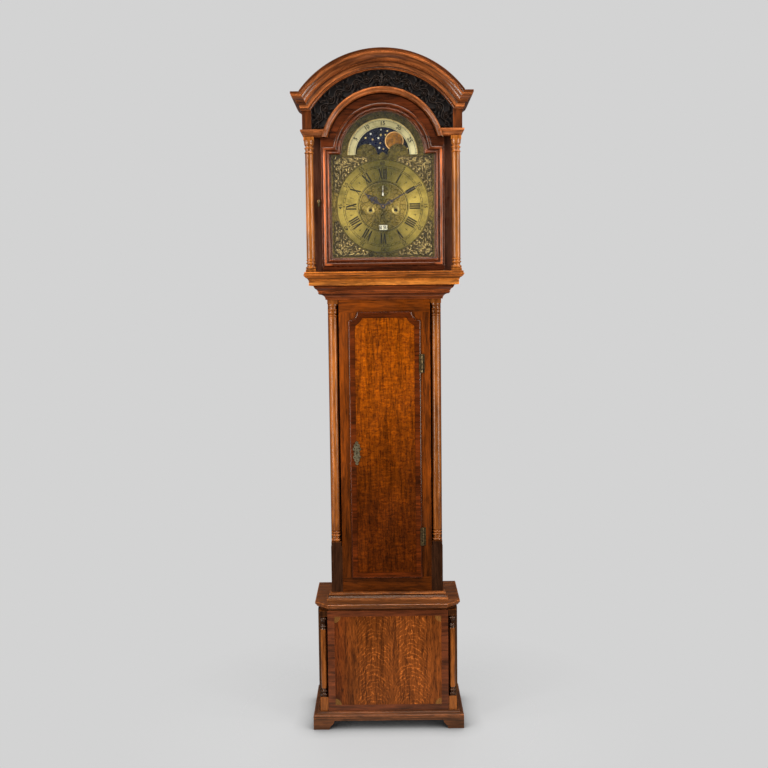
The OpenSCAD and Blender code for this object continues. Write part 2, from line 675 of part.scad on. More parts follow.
module hood_front_board() color([0.33, 0.15, 0.08]) difference() {
    front(mask_d - 16) linear_extrude(16) difference() {
        under_arch(side_x, z_col, roof_r - 9);
        arched(dial_w / 2 - 1, z_sight + 4 + 1, z_spring + 2, sight_r - 3, z_spring + 3);
    }
    at([-door_half - 9, dial_z + 13], mask_d - 14) cylinder(r = 2.56, h = 30, $fn = 32);
}

module hood_roof() color([0.4, 0.2, 0.1]) front(hood_back) linear_extrude(mask_d - hood_back) intersection() {
    difference() {
        translate([0, cornice_arch_z]) circle(roof_r, $fn = 180);
        translate([0, cornice_arch_z]) circle(roof_r - 9, $fn = 180);
    }
    translate([-face_x, z_cornice + 20]) square([2 * face_x, 400]);
}

// Carved frieze: a board with a row of raised scrolls and leaves that follows the arch
module frieze_field() {
    difference() {
        intersection() {
            translate([0, cornice_arch_z]) circle(frieze_r, $fn = 180);
            translate([-frieze_half + 2, z_frieze]) square([2 * frieze_half - 4, 400]);
        }
        translate([0, door_arch_z]) circle(ring_r + ring_w, $fn = 180);
    }
}
module frieze_fret() color([0.1, 0.06, 0.05]) {
    mid_r = (ring_r + ring_w + frieze_r) / 2 + 4;
    mid_z = (door_arch_z + cornice_arch_z) / 2;
    front(mask_d) linear_extrude(19) frieze_field();
    front(mask_d + 19) linear_extrude(3) intersection() {
        frieze_field();
        translate([0, mid_z]) for (i = [-5:5]) rotate(i * 13.2) translate([0, mid_r]) {
            difference() {
                circle(17, $fn = 32);
                circle(12.5, $fn = 32);
                rotate(i * 90) translate([0, 14]) circle(6, $fn = 24);
            }
            circle(5, $fn = 24);
            for (s = [-1, 1]) translate([s * 24, 0]) rotate(s * 20) scale([1, 1]) intersection() {
                translate([9, 0]) circle(17, $fn = 32);
                translate([-9, 0]) circle(17, $fn = 32);
            }
        }
    }
}

// Line of the mitre between the arched and the straight cornice, as a front view region
module inside_mitre() {
    polygon([[-frieze_half, z_cornice], [frieze_half, z_cornice], [frieze_half + 33.5, z_eaves + 2],
        [frieze_half + 33.5, z_eaves + 400], [-frieze_half - 33.5, z_eaves + 400],
        [-frieze_half - 33.5, z_eaves + 2]]);
}
module hood_cornice() color([0.5, 0.25, 0.12]) {
    intersection() {
        ring_run(grow(cornice_profile, 1, cornice_w / cornice_h), frieze_r, cornice_arch_z, mask_d, hood_d);
        front(0) linear_extrude(400) inside_mitre();
    }
    difference() {
        moulded_slab(cornice_profile, cornice_h, face_x, hood_d, z_cornice);
        front(mask_d) linear_extrude(400) inside_mitre();
        board([-side_x, -1, z_cornice - 1], [side_x, mask_d, z_eaves + 1]);
        board([-900, -1, z_cornice - 1], [900, hood_back, z_eaves + 1]);
        front(0) linear_extrude(mask_d) translate([0, cornice_arch_z]) circle(roof_r, $fn = 180);
    }
}

module arch_moulding() color([0.5, 0.25, 0.12]) difference() {
    union() {
        intersection() {
            ring_run(grow(architrave_profile, 1, ring_w / architrave_h), ring_r, door_arch_z, mask_d, hood_d);
            front(0) linear_extrude(400) translate([-300, z_arch]) square([600, 400]);
        }
        difference() {
            moulded_slab(architrave_profile, architrave_h, face_x, hood_d, z_arch);
            board([-side_x, -1, z_arch - 1], [side_x, mask_d, z_frieze + 1]);
            board([-900, -1, z_arch - 1], [900, hood_back, z_frieze + 1]);
            front(0) linear_extrude(400) translate([0, door_arch_z]) circle(ring_r + ring_w / 2, $fn = 180);
        }
    }
    translate([pivot[0], back_y - pivot[1], z_arch - 1]) cylinder(r = pivot_r + fit, h = pivot_deep + 1, $fn = 32);
}

// One hood column: plinth, turned base, shaft, turned cap and abacus
module hood_column() {
    r = hood_col_r;
    h = z_arch - z_col;
    board([col_x - r - 3, hood_col_d - r - 3, z_col], [col_x + r + 3, hood_col_d + r + 0.6, z_col + 9]);
    turned(col_x, hood_col_d, z_col + 9, concat([[r + 2.5, 0]], bead([r, 1], [r, 8]), [[r - 1, 9]],
        cove([r - 1, 10], [r - 2, 15]), bead([r - 1, 16], [r - 1, 22]), [[r - 1, 24]], bead([r - 1, 26], [r - 1, 31]),
        [[r, 36]], [[r * 0.95, h - 62]], [[r - 2, h - 61]], bead([r - 1, h - 60], [r - 1, h - 55]), [[r - 2, h - 53]],
        bead([r - 1, h - 46], [r - 1, h - 41]), [[r - 2, h - 40]], ovolo([r - 2, h - 36], [r + 2, h - 27]),
        [[r + 2, h - 24]], [[r + 2.5, h - 20]]));
    board([col_x - r - 3, hood_col_d - r - 2, z_arch - 11], [col_x + r + 3, hood_col_d + r + 1, z_arch]);
}
module hood_columns() color([0.55, 0.28, 0.13]) pair() hood_column();

// Hood door: outline and glass opening drawn in or out by e
module door_outline(e) {
    arched(door_half - e, z_door + e, z_arch - 0.5 - e, door_arch_r - e, door_arch_z);
}
module sight_outline(e) {
    arched(sight + e, z_sight - e, z_spring - 1 + e, sight_r + e, z_spring);
}
door_bead = [[12, 1.4], [11.3, 2.6], [10.2, 3.6], [8.4, 4.4]];
module hood_door_frame() color([0.42, 0.17, 0.08]) {
    difference() {
        union() {
            front(door_back) linear_extrude(7) difference() {
                door_outline(0);
                sight_outline(5.3);
            }
            front(door_back + 7) linear_extrude(door_d - door_back - 9) difference() {
                door_outline(0);
                sight_outline(0);
            }
            front(door_d - 2) linear_extrude(2) difference() {
                door_outline(0.8);
                sight_outline(2.5);
            }
            for (b = door_bead) front(door_d - 1) linear_extrude(b[1]) difference() {
                sight_outline(b[0]);
                sight_outline(15.2 - b[0]);
            }
        }
        for (z = [z_door - 1, z_arch - 0.5 - pivot_deep])
            translate([pivot[0], back_y - pivot[1], z]) cylinder(r = pivot_r + 0.1, h = pivot_deep + 1, $fn = 32);
    }
    for (z = [z_col - pivot_deep + 0.5, z_arch - pivot_deep])
        translate([pivot[0], back_y - pivot[1], z]) cylinder(r = pivot_r, h = 2 * pivot_deep - 1, $fn = 32);
}
module hood_door_glass() color([0.8, 0.9, 0.9, 0.3]) front(door_back + 3.8) linear_extrude(3.2) sight_outline(5);

// Turn catch beside the hood door: shaft, finger and turned knob
module hood_door_catch() color("goldenrod") at([-door_half - 9, dial_z + 13], mask_d - 13) {
    cylinder(r = 2.5, h = door_d - mask_d + 17, $fn = 32);
    translate([0, 0, 13.4]) cylinder(r = 5, h = 1.6, $fn = 32);
    translate([-2.5, -16, door_d - mask_d + 15]) cube([5, 18, 2.4]);
    translate([0, 0, door_d - mask_d + 15]) rotate_extrude($fn = 32)
        polygon([[0, 0], [3.6, 0], [3.6, 2.4], [2.4, 4], [4.6, 6.4], [4.6, 8.6], [2.6, 10.6], [0, 11]]);
}

// Dial

module dial_plate() color([0.62, 0.54, 0.3]) difference() {
    union() {
        front(dial_d - dial_t) linear_extrude(dial_t) difference() {
            arched(dial_w / 2, dial_z - dial_w / 2, dial_z + dial_w / 2, sight_r - 1.4, z_spring + 3);
            difference() {
                intersection() {
                    translate(moon) circle(moon_window_r, $fn = 96);
                    translate([-dial_w, moon[1]]) square([2 * dial_w, dial_w]);
                }
                for (s = [-1, 1]) translate([moon[0] + s * hump_x, moon[1]]) circle(hump_r, $fn = 64);
                translate(moon) circle(9, $fn = 40);
            }
            translate([-13, dial_z - 74.5]) square([26, 15]);
        }
        for (x = [-76, 76]) for (z = [-54, 102]) at([x, dial_z + z], front_d + plate_t)
            cylinder(r = 4, h = dial_d - dial_t - front_d - plate_t + 0.2, $fn = 32);
        at(moon, moon_d - 3) cylinder(r = 2.5, h = dial_d - dial_t - moon_d + 3.2, $fn = 32);
        for (a = [20, 160, 235, 305]) at(polar(centre, date_r[1] + 3.4, a), date_d - 1) date_guide();
    }
    at(centre, dial_d - 10) cylinder(r = 6.2, h = 20, $fn = 48);
    at(escape, dial_d - 10) cylinder(r = 2, h = 20, $fn = 32);
    for (p = [going, strike]) at(p, dial_d - 10) cylinder(r = wind_hole_r, h = 20, $fn = 48);
}

// Stud with a flange that carries the edge of the date ring, standing on the back of the dial
module date_guide() {
    cylinder(r = 6, h = 0.8, $fn = 32);
    cylinder(r = 3, h = dial_d - dial_t - date_d + 1.1, $fn = 32);
}

// Strokes of a Roman numeral, each as [x, lean in degrees], drawn from letter widths
function numeral(s) = let (w = [for (c = s) c == "I" ? 5.4 : c == "V" ? 11.5 : 14], total = sum(w))
    [for (i = [0:len(s) - 1]) let (x = sum([for (j = [0:1:i - 1]) w[j]]) + w[i] / 2 - total / 2)
        each s[i] == "I" ? [[x, 0]] : s[i] == "V" ? [[x - 3.6, 14], [x + 3.6, -14]] : [[x, 21], [x, -21]]];
function sum(v, i = 0) = i < len(v) ? v[i] + sum(v, i + 1) : 0;
hours = ["XII", "I", "II", "III", "IIII", "V", "VI", "VII", "VIII", "IX", "X", "XI"];
hour_r = chapter_in_r + 27;

module chapter_ring() color([0.68, 0.6, 0.36]) {
    at(centre, dial_d) difference() {
        linear_extrude(1.5) difference() {
            circle(chapter_r, $fn = 180);
            circle(chapter_in_r, $fn = 120);
        }
        translate([0, 0, 1.2]) linear_extrude(1) {
            for (r = [chapter_in_r + 3, chapter_r - 26, chapter_r - 20.5, chapter_r - 3]) difference() {
                circle(r + 0.3, $fn = 120);
                circle(r - 0.3, $fn = 120);
            }
            for (h = [0:11]) rotate(-30 * h) translate([0, hour_r]) for (s = numeral(hours[h]))
                translate([s[0], 0]) rotate(s[1]) square([s[1] < 0 ? 1.2 : 2.6, 32], center = true);
            for (i = [0:59]) rotate(6 * i) translate([0, chapter_r - 23.25])
                square([i % 5 == 0 ? 2 : 0.7, 5.5], center = true);
        }
    }
    at(escape, dial_d) linear_extrude(1) difference() {
        circle(26, $fn = 96);
        circle(18.5, $fn = 96);
    }
}

// Cast corner piece: a leafy head, two open scrolls and two long leaves along the edges
module spandrel() {
    difference() {
        union() {
            translate([24, 24]) circle(14, $fn = 32);
            for (k = [0, 1]) mirror([k, -k]) {
                translate([48, 14]) circle(10, $fn = 32);
                translate([70, 10]) circle(6.4, $fn = 24);
                polygon([[10, 4], [100, 4], [84, 11], [60, 14], [44, 22], [24, 20]]);
            }
        }
        for (k = [0, 1]) mirror([k, -k]) {
            translate([48, 14]) circle(4.6, $fn = 24);
            translate([70, 9]) circle(2.6, $fn = 20);
        }
        translate([17, 17]) circle(3, $fn = 20);
        for (s = [-1, 1]) translate([24 + 7 * s, 24 - 7 * s]) circle(2.4, $fn = 20);
    }
}
module dial_spandrels() color("gold") for (mx = [0, 1]) for (mz = [0, 1])
    at(centre, dial_d) difference() {
        linear_extrude(2.5) mirror([mx, 0]) mirror([0, mz])
            translate([-dial_w / 2, -dial_w / 2]) spandrel();
        translate([0, 0, -1]) cylinder(r = chapter_r + 1.4, h = 5, $fn = 120);
    }

module lunar_ring() color([0.7, 0.62, 0.38]) at(moon, dial_d) difference() {
    linear_extrude(1.2) difference() {
        circle(lunar_r, $fn = 120);
        circle(moon_window_r, $fn = 96);
        translate([-dial_w, -dial_w]) square([2 * dial_w, dial_w]);
    }
    translate([0, 0, 0.9]) linear_extrude(1) for (i = [1:28]) rotate(90 - 180 * i / 29)
        translate([0, lunar_r - 4]) square([0.8, 5], center = true);
}

module moon_disc() color([0.08, 0.12, 0.3]) at(moon, moon_d) linear_extrude(2) difference() {
    polygon([for (i = [0:moon_n - 1]) let (a = 360 * i / moon_n)
        each [polar([0, 0], moon_r - 1.8, a), polar([0, 0], moon_r, a + 0.4)]]);
    circle(2.5 + fit, $fn = 32);
}

module date_ring() color("lightgoldenrodyellow") at(centre, date_d) linear_extrude(1.3) difference() {
    circle(date_r[1], $fn = 120);
    polygon([for (i = [0:date_n - 1]) let (a = 360 * i / date_n)
        each [polar([0, 0], date_r[0], a), polar([0, 0], date_r[0] - 2.6, a + 1.2)]]);
}

// Hands, drawn along +X and turned to their angles
module hand(angle, p, d, t, hub_in, hub_out) {
    at(p, d) linear_extrude(t) difference() {
        rotate(angle) union() {
            circle(hub_out, $fn = 40);
            children();
        }
        circle(hub_in, $fn = 32);
    }
}
module minute_hand() color([0.08, 0.1, 0.18]) {
    hand(minute_angle, centre, dial_d + 11, 1.2, arbor_r + fit, 6) {
        difference() {
            polygon([[0, -2.6], [14, -2.4], [26, -6.5], [38, -2], [minute_len - 10, -0.9], [minute_len, 0],
                [minute_len - 10, 0.9], [38, 2], [26, 6.5], [14, 2.4], [0, 2.6]]);
            for (s = [-1, 1]) translate([26, s * 2.8]) circle(1.9, $fn = 24);
        }
    }
    at(centre, dial_d + 12.2) difference() {
        cylinder(r1 = 4.2, r2 = 3, h = 1.4, $fn = 32);
        translate([0, 0, -1]) cylinder(r = arbor_r + fit, h = 5, $fn = 32);
    }
}
module hour_hand() color([0.08, 0.1, 0.18]) hand(hour_angle, centre, dial_d + 6, 1.2, 3.3, 8) difference() {
    union() {
        polygon([[0, -3.6], [20, -3], [34, -11], [48, -4.4], [56, -6], [62, -2], [hour_len, 0],
            [62, 2], [56, 6], [48, 4.4], [34, 11], [20, 3], [0, 3.6]]);
        for (s = [-1, 1]) translate([34, s * 7]) circle(5.4, $fn = 32);
    }
    for (s = [-1, 1]) translate([34, s * 6.4]) circle(3.2, $fn = 24);
    translate([51, 0]) circle(2.4, $fn = 24);
}
module seconds_hand() color([0.08, 0.1, 0.18]) hand(seconds_angle, escape, dial_d + 3, 1, pivot_pin_r + fit, 2.6)
    polygon([[-14, -1.8], [-8, -1.6], [0, -0.9], [17, -0.4], [17, 0.4], [0, 0.9], [-8, 1.6], [-14, 1.8]]);

// Movement

small_pivots = [third, pin, warn, fly, hammer_axis, escape];
front_holes = concat([for (p = small_pivots) [p, pivot_pin_r]],
    [[pallet, pivot_pin_r], [centre, arbor_r], [going, barrel_arbor_r], [strike, barrel_arbor_r]]);
rear_holes = concat([for (p = small_pivots) [p, pivot_pin_r]],
    [[pallet, arbor_r], [centre, pivot_pin_r], [going, 2.5], [strike, 2.5]]);
module plate(d, holes) {
    front(d) linear_extrude(plate_t) difference() {
        translate([-plate_half, plate_z0]) square([2 * plate_half, plate_h]);
        for (h = holes) translate(h[0]) circle(h[1] + fit, $fn = 32);
    }
}
pillar_shape = [[5, 0], [5, 3], [3.4, 5], [3.4, 0.36 * plate_gap], [6.5, 0.44 * plate_gap], [6.5, 0.54 * plate_gap],
    [3.4, 0.62 * plate_gap], [3.4, plate_gap - 5], [5, plate_gap - 3], [5, plate_gap - 0.1]];
cock_d = rear_d - plate_t - 14;
module movement_frame() color("goldenrod") {
    z = pallet[1];
    plate(front_d, front_holes);
    plate(rear_d - plate_t, rear_holes);
    for (p = [[-1, 10], [1, 10], [-1, plate_h - 10], [1, plate_h - 10]])
        at([p[0] * (plate_half - 9.6), plate_z0 + p[1]], rear_d) rotate_extrude($fn = 32)
            polygon(concat([[0, 0]], pillar_shape, [[0, plate_gap - 0.1]]));
    at([0, plate_z0 + 8], rear_d) rotate_extrude($fn = 32)
        polygon(concat([[0, 0]], pillar_shape, [[0, plate_gap - 0.1]]));
    at(minute_axis, front_d) cylinder(r = 1.2, h = hour_d - front_d + 6, $fn = 24);
    difference() {
        board([-26, cock_d, z - 8], [26, cock_d + 3, z + 8]);
        at(pallet, cock_d - 1) cylinder(r = pivot_pin_r + fit, h = 5, $fn = 24);
    }
    pair() board([18, cock_d + 3, z - 8], [26, rear_d - plate_t - 0.1, z + 8]);
    board([-4, pend_d - 4, z + 2], [4, cock_d, z + 12]);
    board([-0.25, pend_d - 4, z + 0.4], [0.25, cock_d - 1, z + 3]);
}

module bell() {
    stand_top = bell_z + bell_r;
    color("darkkhaki") at([0, 0], 0) translate([0, bell_z, bell_d]) rotate([-90, 0, 0]) rotate_extrude($fn = 64)
        polygon(concat([[3.2, bell_r]], [for (i = [1:15]) [bell_r * sin(6 * i), bell_r * cos(6 * i)]],
            [[bell_r, 0], [bell_r + 1.5, -1.5], [bell_r - 2.5, -1.5]],
            [for (i = [14:-1:1]) (bell_r - 2.2) * [sin(6 * i), cos(6 * i)]], [[3.2, bell_r - 2.4]]));
    color("dimgray") {
        board([-6, rear_d - plate_t - 3, pallet[1] + 14], [6, rear_d - plate_t, bell_z - 7]);
        board([-6, rear_d - plate_t - 3, bell_z - 10], [6, bell_d + 5, bell_z - 7]);
        translate([0, back_y - bell_d, bell_z - 8]) cylinder(r = 5, h = bell_r + 8 - 2.6, $fn = 32);
        translate([0, back_y - bell_d, bell_z - 8]) cylinder(r = 3, h = bell_r + 12, $fn = 32);
        difference() {
            translate([0, back_y - bell_d, stand_top]) cylinder(r = 7, h = 3.6, $fn = 6);
            translate([0, back_y - bell_d, stand_top - 1]) cylinder(r = 3, h = 6, $fn = 32);
        }
    }
}

module hammer() color("dimgray") {
    head = [-bell_r - 9, bell_z + 5.4];
    tail = [hammer_axis[0] + 11, warn[1] + 1.2];
    at(hammer_axis, 0) arbor();
    at(hammer_axis, bell_d - 1.5) rotate(dir(hammer_axis, head)) translate([0, -2, 0])
        cube([dist(hammer_axis, head), 4, 3]);
    at(head, bell_d) rotate([0, 90, 0]) translate([0, 0, -6]) cylinder(r = 5, h = 12, $fn = 32);
    at(hammer_axis, hammer_d - 3) rotate(dir(hammer_axis, tail)) translate([0, -1.8, 0])
        cube([dist(hammer_axis, tail), 3.6, 2.4]);
    for (d = [hammer_d - 3.6, bell_d - 2.6]) at(hammer_axis, d) cylinder(r = 4, h = 4, $fn = 32);
}

// A wheel at p with a tooth turned to its partner at q, and a pinion with a space turned to it
module wheel_at(p, q, d, n, m, t, hub = 4.6, arm = 3.4, turn = 0) {
    at(p, d) rotate(dir(p, q) + turn) wheel(n, m, t, hub, arm);
}
module pinion_at(p, q, d, n, m, t) {
    at(p, d) rotate(dir(p, q) + 180 / n) pinion(n, m, t);
}

module centre_wheel() color("goldenrod") {
    at(centre, 0) arbor();
    wheel_at(centre, third, centre_d, centre_n, going_m, 2);
    difference() {
        pinion_at(centre, going, great_d - 1.5, centre_leaves, great_m, 6);
    }
    at(centre, front_d - 1) cylinder(r = arbor_r, h = dial_d - front_d + 15.4, $fn = 32);
    difference() {
        union() {
            wheel_at(centre, minute_axis, motion_d, motion_n[0], cannon_m, 2, 5.4, 3);
            at(centre, motion_d - 1.5) cylinder(r = 3.2, h = dial_d + 11 - motion_d + 1.5, $fn = 32);
        }
        at(centre, 0) cylinder(r = arbor_r + fit, h = 300, $fn = 32);
    }
}
module minute_wheel() color("goldenrod") difference() {
    union() {
        wheel_at(minute_axis, centre, motion_d, motion_n[1], cannon_m, 2, 4.4, 3, 180 / motion_n[1]);
        at(minute_axis, motion_d + 1) cylinder(r = 2.2, h = hour_d - motion_d - 1.5, $fn = 32);
        pinion_at(minute_axis, centre, hour_d - 1, motion_leaves, hour_m, 4);
    }
    at(minute_axis, 0) cylinder(r = 1.2 + fit, h = 300, $fn = 24);
}
module hour_wheel() color("goldenrod") difference() {
    union() {
        wheel_at(centre, minute_axis, hour_d, motion_n[2], hour_m, 2, 7.6, 3.4);
        at(centre, hour_d) cylinder(r = 5, h = dial_d + 6 - hour_d, $fn = 32);
    }
    at(centre, 0) cylinder(r = 3.2 + fit, h = 300, $fn = 32);
}
module third_wheel() color("goldenrod") {
    at(third, 0) arbor();
    wheel_at(third, escape, third_d, third_n, going_m, 1.6);
    pinion_at(third, centre, centre_d - 1, third_leaves, going_m, 4);
}
module escape_wheel() color("goldenrod") {
    at(escape, 0) arbor(dial_d - front_d - plate_t + 4);
    pinion_at(escape, third, third_d - 1.2, escape_leaves, going_m, 4);
    at(escape, escape_d) linear_extrude(1.2) difference() {
        polygon([for (i = [0:escape_n - 1]) let (a = 360 * i / escape_n) each [polar([0, 0], escape_r, a),
            polar([0, 0], escape_r - 3.6, a + 3), polar([0, 0], escape_r - 3.6, a + 9)]]);
        difference() {
            circle(escape_r - 5.6, $fn = 48);
            circle(3.6, $fn = 32);
            for (a = [0, 90]) rotate(a) square([40, 2], center = true);
        }
    }
}

// Great wheel, running free on its barrel arbor
module great_wheel(p, q, n, m) {
    difference() {
        wheel_at(p, q, great_d, n, m, 3, 9, 5);
        at(p, 0) cylinder(r = barrel_arbor_r + fit, h = 300, $fn = 32);
    }
}
module going_great_wheel() color("goldenrod") great_wheel(going, centre, great_n, great_m);
module strike_great_wheel() color("goldenrod") great_wheel(strike, pin, strike_n, strike_m);

// Barrel: grooved drum between flanges, its arbor and the winding square
module barrel(p) {
    w = drum_d[1] - drum_d[0] - 4;
    turns = 12;
    at(p, 0) {
        translate([0, 0, drum_d[0]]) rotate_extrude($fn = 64) polygon(concat([[0, 0], [barrel_r + 2.4, 0],
            [barrel_r + 2.4, 2]], [for (i = [0:turns - 1]) each [[barrel_r, 2 + w * i / turns],
            [barrel_r - 0.7, 2 + w * (i + 0.5) / turns]]], [[barrel_r, 2 + w], [barrel_r + 2.4, 2 + w],
            [barrel_r + 2.4, 4 + w], [0, 4 + w]]));
        translate([0, 0, rear_d + 0.3]) cylinder(r = barrel_arbor_r, h = plate_gap + plate_t - 0.3, $fn = 32);
        translate([0, 0, rear_d - plate_t]) cylinder(r = 2.5, h = 10, $fn = 32);
        translate([-winding_square / 2, -winding_square / 2, front_d])
            cube([winding_square, winding_square, dial_d - front_d - 1]);
    }
}
module going_barrel() color("darkgoldenrod") barrel(going);
module strike_barrel() color("darkgoldenrod") barrel(strike);

module pin_wheel() color("goldenrod") {
    at(pin, 0) arbor();
    wheel_at(pin, warn, pin_d, pin_n, pin_m, 2);
    pinion_at(pin, strike, great_d - 1.5, pin_leaves, strike_m, 6);
    for (i = [0:7]) at(polar(pin, 20.3, 45 * i + 10), pin_d) cylinder(r = 1, h = 5.5, $fn = 20);
}
module warning_wheel() color("goldenrod") {
    at(warn, 0) arbor();
    wheel_at(warn, fly, warn_d, warn_n, warn_m, 1.6);
    pinion_at(warn, pin, pin_d - 1, warn_leaves, pin_m, 4);
}
module strike_fly() color("goldenrod") {
    at(fly, 0) arbor(r = fly_arbor_r);
    pinion_at(fly, warn, warn_d - 1.2, fly_leaves, warn_m, 4);
    at(fly, warn_d + 6) translate([-15, -0.5, 0]) cube([30, 1, 16]);
    at(fly, warn_d + 6) cylinder(r = 3, h = 16, $fn = 24);
}

// Anchor with its two nibs, arbor, collar and the crutch that holds the pendulum rod
module pallets() color("dimgray") {
    crutch_d = rear_d - plate_t - 7;
    z = dial_z - 46;
    at(pallet, escape_d - 1.8) linear_extrude(4.6) difference() {
        union() {
            circle(4.4, $fn = 32);
            for (s = [0, 1]) mirror([s, 0])
                polygon([[0, 4], [12, -1], [17.6, -8], [16, -14.6], [12, -14.6], [11.4, -8], [6, -4], [0, -4.4]]);
        }
        translate([0, escape[1] - pallet[1]]) circle(escape_r + 1.5, $fn = 96);
    }
    at(pallet, cock_d + 3.4) cylinder(r = arbor_r, h = front_d - cock_d - 3.8, $fn = 32);
    at(pallet, cock_d + 0.4) cylinder(r = pivot_pin_r, h = front_d + plate_t - cock_d - 0.4, $fn = 24);
    at(pallet, crutch_d - 1) cylinder(r = 4, h = 4, $fn = 32);
    board([-2, crutch_d, z], [2, crutch_d + 2, pallet[1]]);
    board([-4.9, crutch_d, z - 2], [4.9, crutch_d + 2, z + 2]);
    pair() board([3.3, pend_d - 5, z - 2], [4.9, crutch_d + 2, z + 2]);
}

// Pendulum: suspension strip, rod, lens-shaped bob on the rod and the rating nut under it
module pendulum() {
    z = pallet[1];
    bob_z = z - pendulum_len;
    color("gray") {
        board([-0.25, pend_d - 4, z - 14], [0.25, pend_d + 4, z - 0.1]);
        board([-4, pend_d - 4, z - 24], [4, pend_d + 4, z - 12]);
        translate([0, back_y - pend_d, bob_z - bob_r - 22]) cylinder(r = 2.5, h = pendulum_len + bob_r, $fn = 32);
    }
    color("gold") difference() {
        at([0, bob_z], pend_d) rotate_extrude($fn = 96) polygon(concat([[0, -10]],
            [for (i = [1:10]) [bob_r * i / 10, -10 + 9 * pow(i / 10, 2)]],
            [for (i = [10:-1:0]) [bob_r * i / 10, 10 - 9 * pow(i / 10, 2)]]));
        translate([0, back_y - pend_d, bob_z - bob_r - 1]) cylinder(r = 2.6, h = 2 * bob_r + 2, $fn = 32);
    }
    color("gold") difference() {
        translate([0, back_y - pend_d, bob_z - bob_r - 6.4]) cylinder(r = 9, h = 6, $fn = 24);
        translate([0, back_y - pend_d, bob_z - bob_r - 8]) cylinder(r = 2.6, h = 10, $fn = 32);
    }
}

// Weight on its pulley, with the loop of line under the sheave
module weight(x) {
    r = pulley_r + line_r + 0.1;
    hook_h = pulley_r + 0.9;
    top = pulley_z - r - 8.2 - hook_h;
    color("dimgray") at([x, pulley_z], line_d) {
        rotate([0, 0, 180]) rotate_extrude(angle = 180, $fn = 64) translate([r, 0]) circle(line_r, $fn = 16);
        difference() {
            translate([0, 0, -3]) rotate_extrude($fn = 64) polygon([[0, 0], [pulley_r + 2, 0],
                [pulley_r + 2, 1], [pulley_r - 0.2, 2.6], [pulley_r - 0.2, 3.4], [pulley_r + 2, 5],
                [pulley_r + 2, 6], [0, 6]]);
            translate([0, 0, -10]) cylinder(r = 2.5 + fit, h = 20, $fn = 32);
        }
        translate([0, 0, -6.6]) cylinder(r = 2.5, h = 13.2, $fn = 32);
        for (d = [-6.6, 4.2]) translate([-5, -pulley_r - 8, d]) cube([10, pulley_r + 12, 2.4]);
        translate([-5, -pulley_r - 9, -6.6]) cube([10, 4, 13.2]);
    }
    color("goldenrod") translate([x, back_y - line_d, top - weight_h]) rotate_extrude($fn = 64)
        polygon(concat([[0, 0], [weight_r - 4, 0]], ovolo([weight_r - 4, 0], [weight_r, 5]),
            [[weight_r, weight_h - 5], [weight_r - 4, weight_h], [3, weight_h], [3, weight_h + hook_h],
            [0, weight_h + hook_h]]));
}
module going_weight() weight(fall(wind_x) + pulley_r + line_r + 0.1);
module strike_weight() weight(fall(-wind_x) + pulley_r + line_r + 0.1);

// The two straight falls of one line, from the seatboard to the pulley
module falls(x) {
    for (k = [0, 2]) translate([x + k * (pulley_r + line_r + 0.1), back_y - line_d, pulley_z])
        cylinder(r = line_r, h = line_z - pulley_z, $fn = 16);
}
module going_line() color("tan") falls(fall(wind_x));
module strike_line() color("tan") falls(fall(-wind_x));

backboard();
base_boards();
base_front_panel();
base_front_frame();
base_columns();
plinth_moulding();
bracket_feet();
base_top_mouldings();
trunk_front_frame();
trunk_sides();
trunk_columns();
throat_moulding();
seatboard();
trunk_hinge_leaves();
trunk_door();
door_hinge_leaves();
escutcheon();
trunk_lock();
lock_bolt();
hood_base_moulding();
hood_sides();
hood_front_board();
hood_roof();
frieze_fret();
hood_cornice();
arch_moulding();
hood_columns();
hood_door_frame();
hood_door_glass();
hood_door_catch();
dial_plate();
chapter_ring();
dial_spandrels();
lunar_ring();
moon_disc();
date_ring();
movement_frame();
bell();
hammer();
centre_wheel();
minute_hand();
minute_wheel();
hour_wheel();
hour_hand();
third_wheel();
escape_wheel();
seconds_hand();
going_great_wheel();
going_barrel();
strike_great_wheel();
strike_barrel();
pin_wheel();
warning_wheel();
strike_fly();
pallets();
pendulum();
going_weight();
strike_weight();
going_line();
strike_line();
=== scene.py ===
import math

import bmesh
import bpy
import numpy as np
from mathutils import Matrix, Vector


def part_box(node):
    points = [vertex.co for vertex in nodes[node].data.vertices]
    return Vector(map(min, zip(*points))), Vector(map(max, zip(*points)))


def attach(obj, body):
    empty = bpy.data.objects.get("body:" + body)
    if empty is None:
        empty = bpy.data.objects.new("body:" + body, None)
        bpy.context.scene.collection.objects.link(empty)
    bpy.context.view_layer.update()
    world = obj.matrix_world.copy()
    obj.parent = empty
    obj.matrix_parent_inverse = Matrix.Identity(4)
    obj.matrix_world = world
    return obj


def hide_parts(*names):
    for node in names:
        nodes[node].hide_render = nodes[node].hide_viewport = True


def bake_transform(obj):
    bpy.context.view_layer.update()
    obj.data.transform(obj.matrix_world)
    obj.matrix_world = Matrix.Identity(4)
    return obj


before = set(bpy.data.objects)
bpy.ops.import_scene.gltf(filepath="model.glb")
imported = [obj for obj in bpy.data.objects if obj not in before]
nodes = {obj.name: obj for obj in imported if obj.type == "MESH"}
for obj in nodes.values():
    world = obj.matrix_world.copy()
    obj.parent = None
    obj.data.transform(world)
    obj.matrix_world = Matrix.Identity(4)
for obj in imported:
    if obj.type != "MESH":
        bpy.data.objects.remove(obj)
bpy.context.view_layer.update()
print("frame loaded:", len(nodes), "nodes")


# Places read from the frame, in metres; the clock's front looks along -Y

def edges(name):
    low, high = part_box(name)
    return np.array(low), np.array(high)


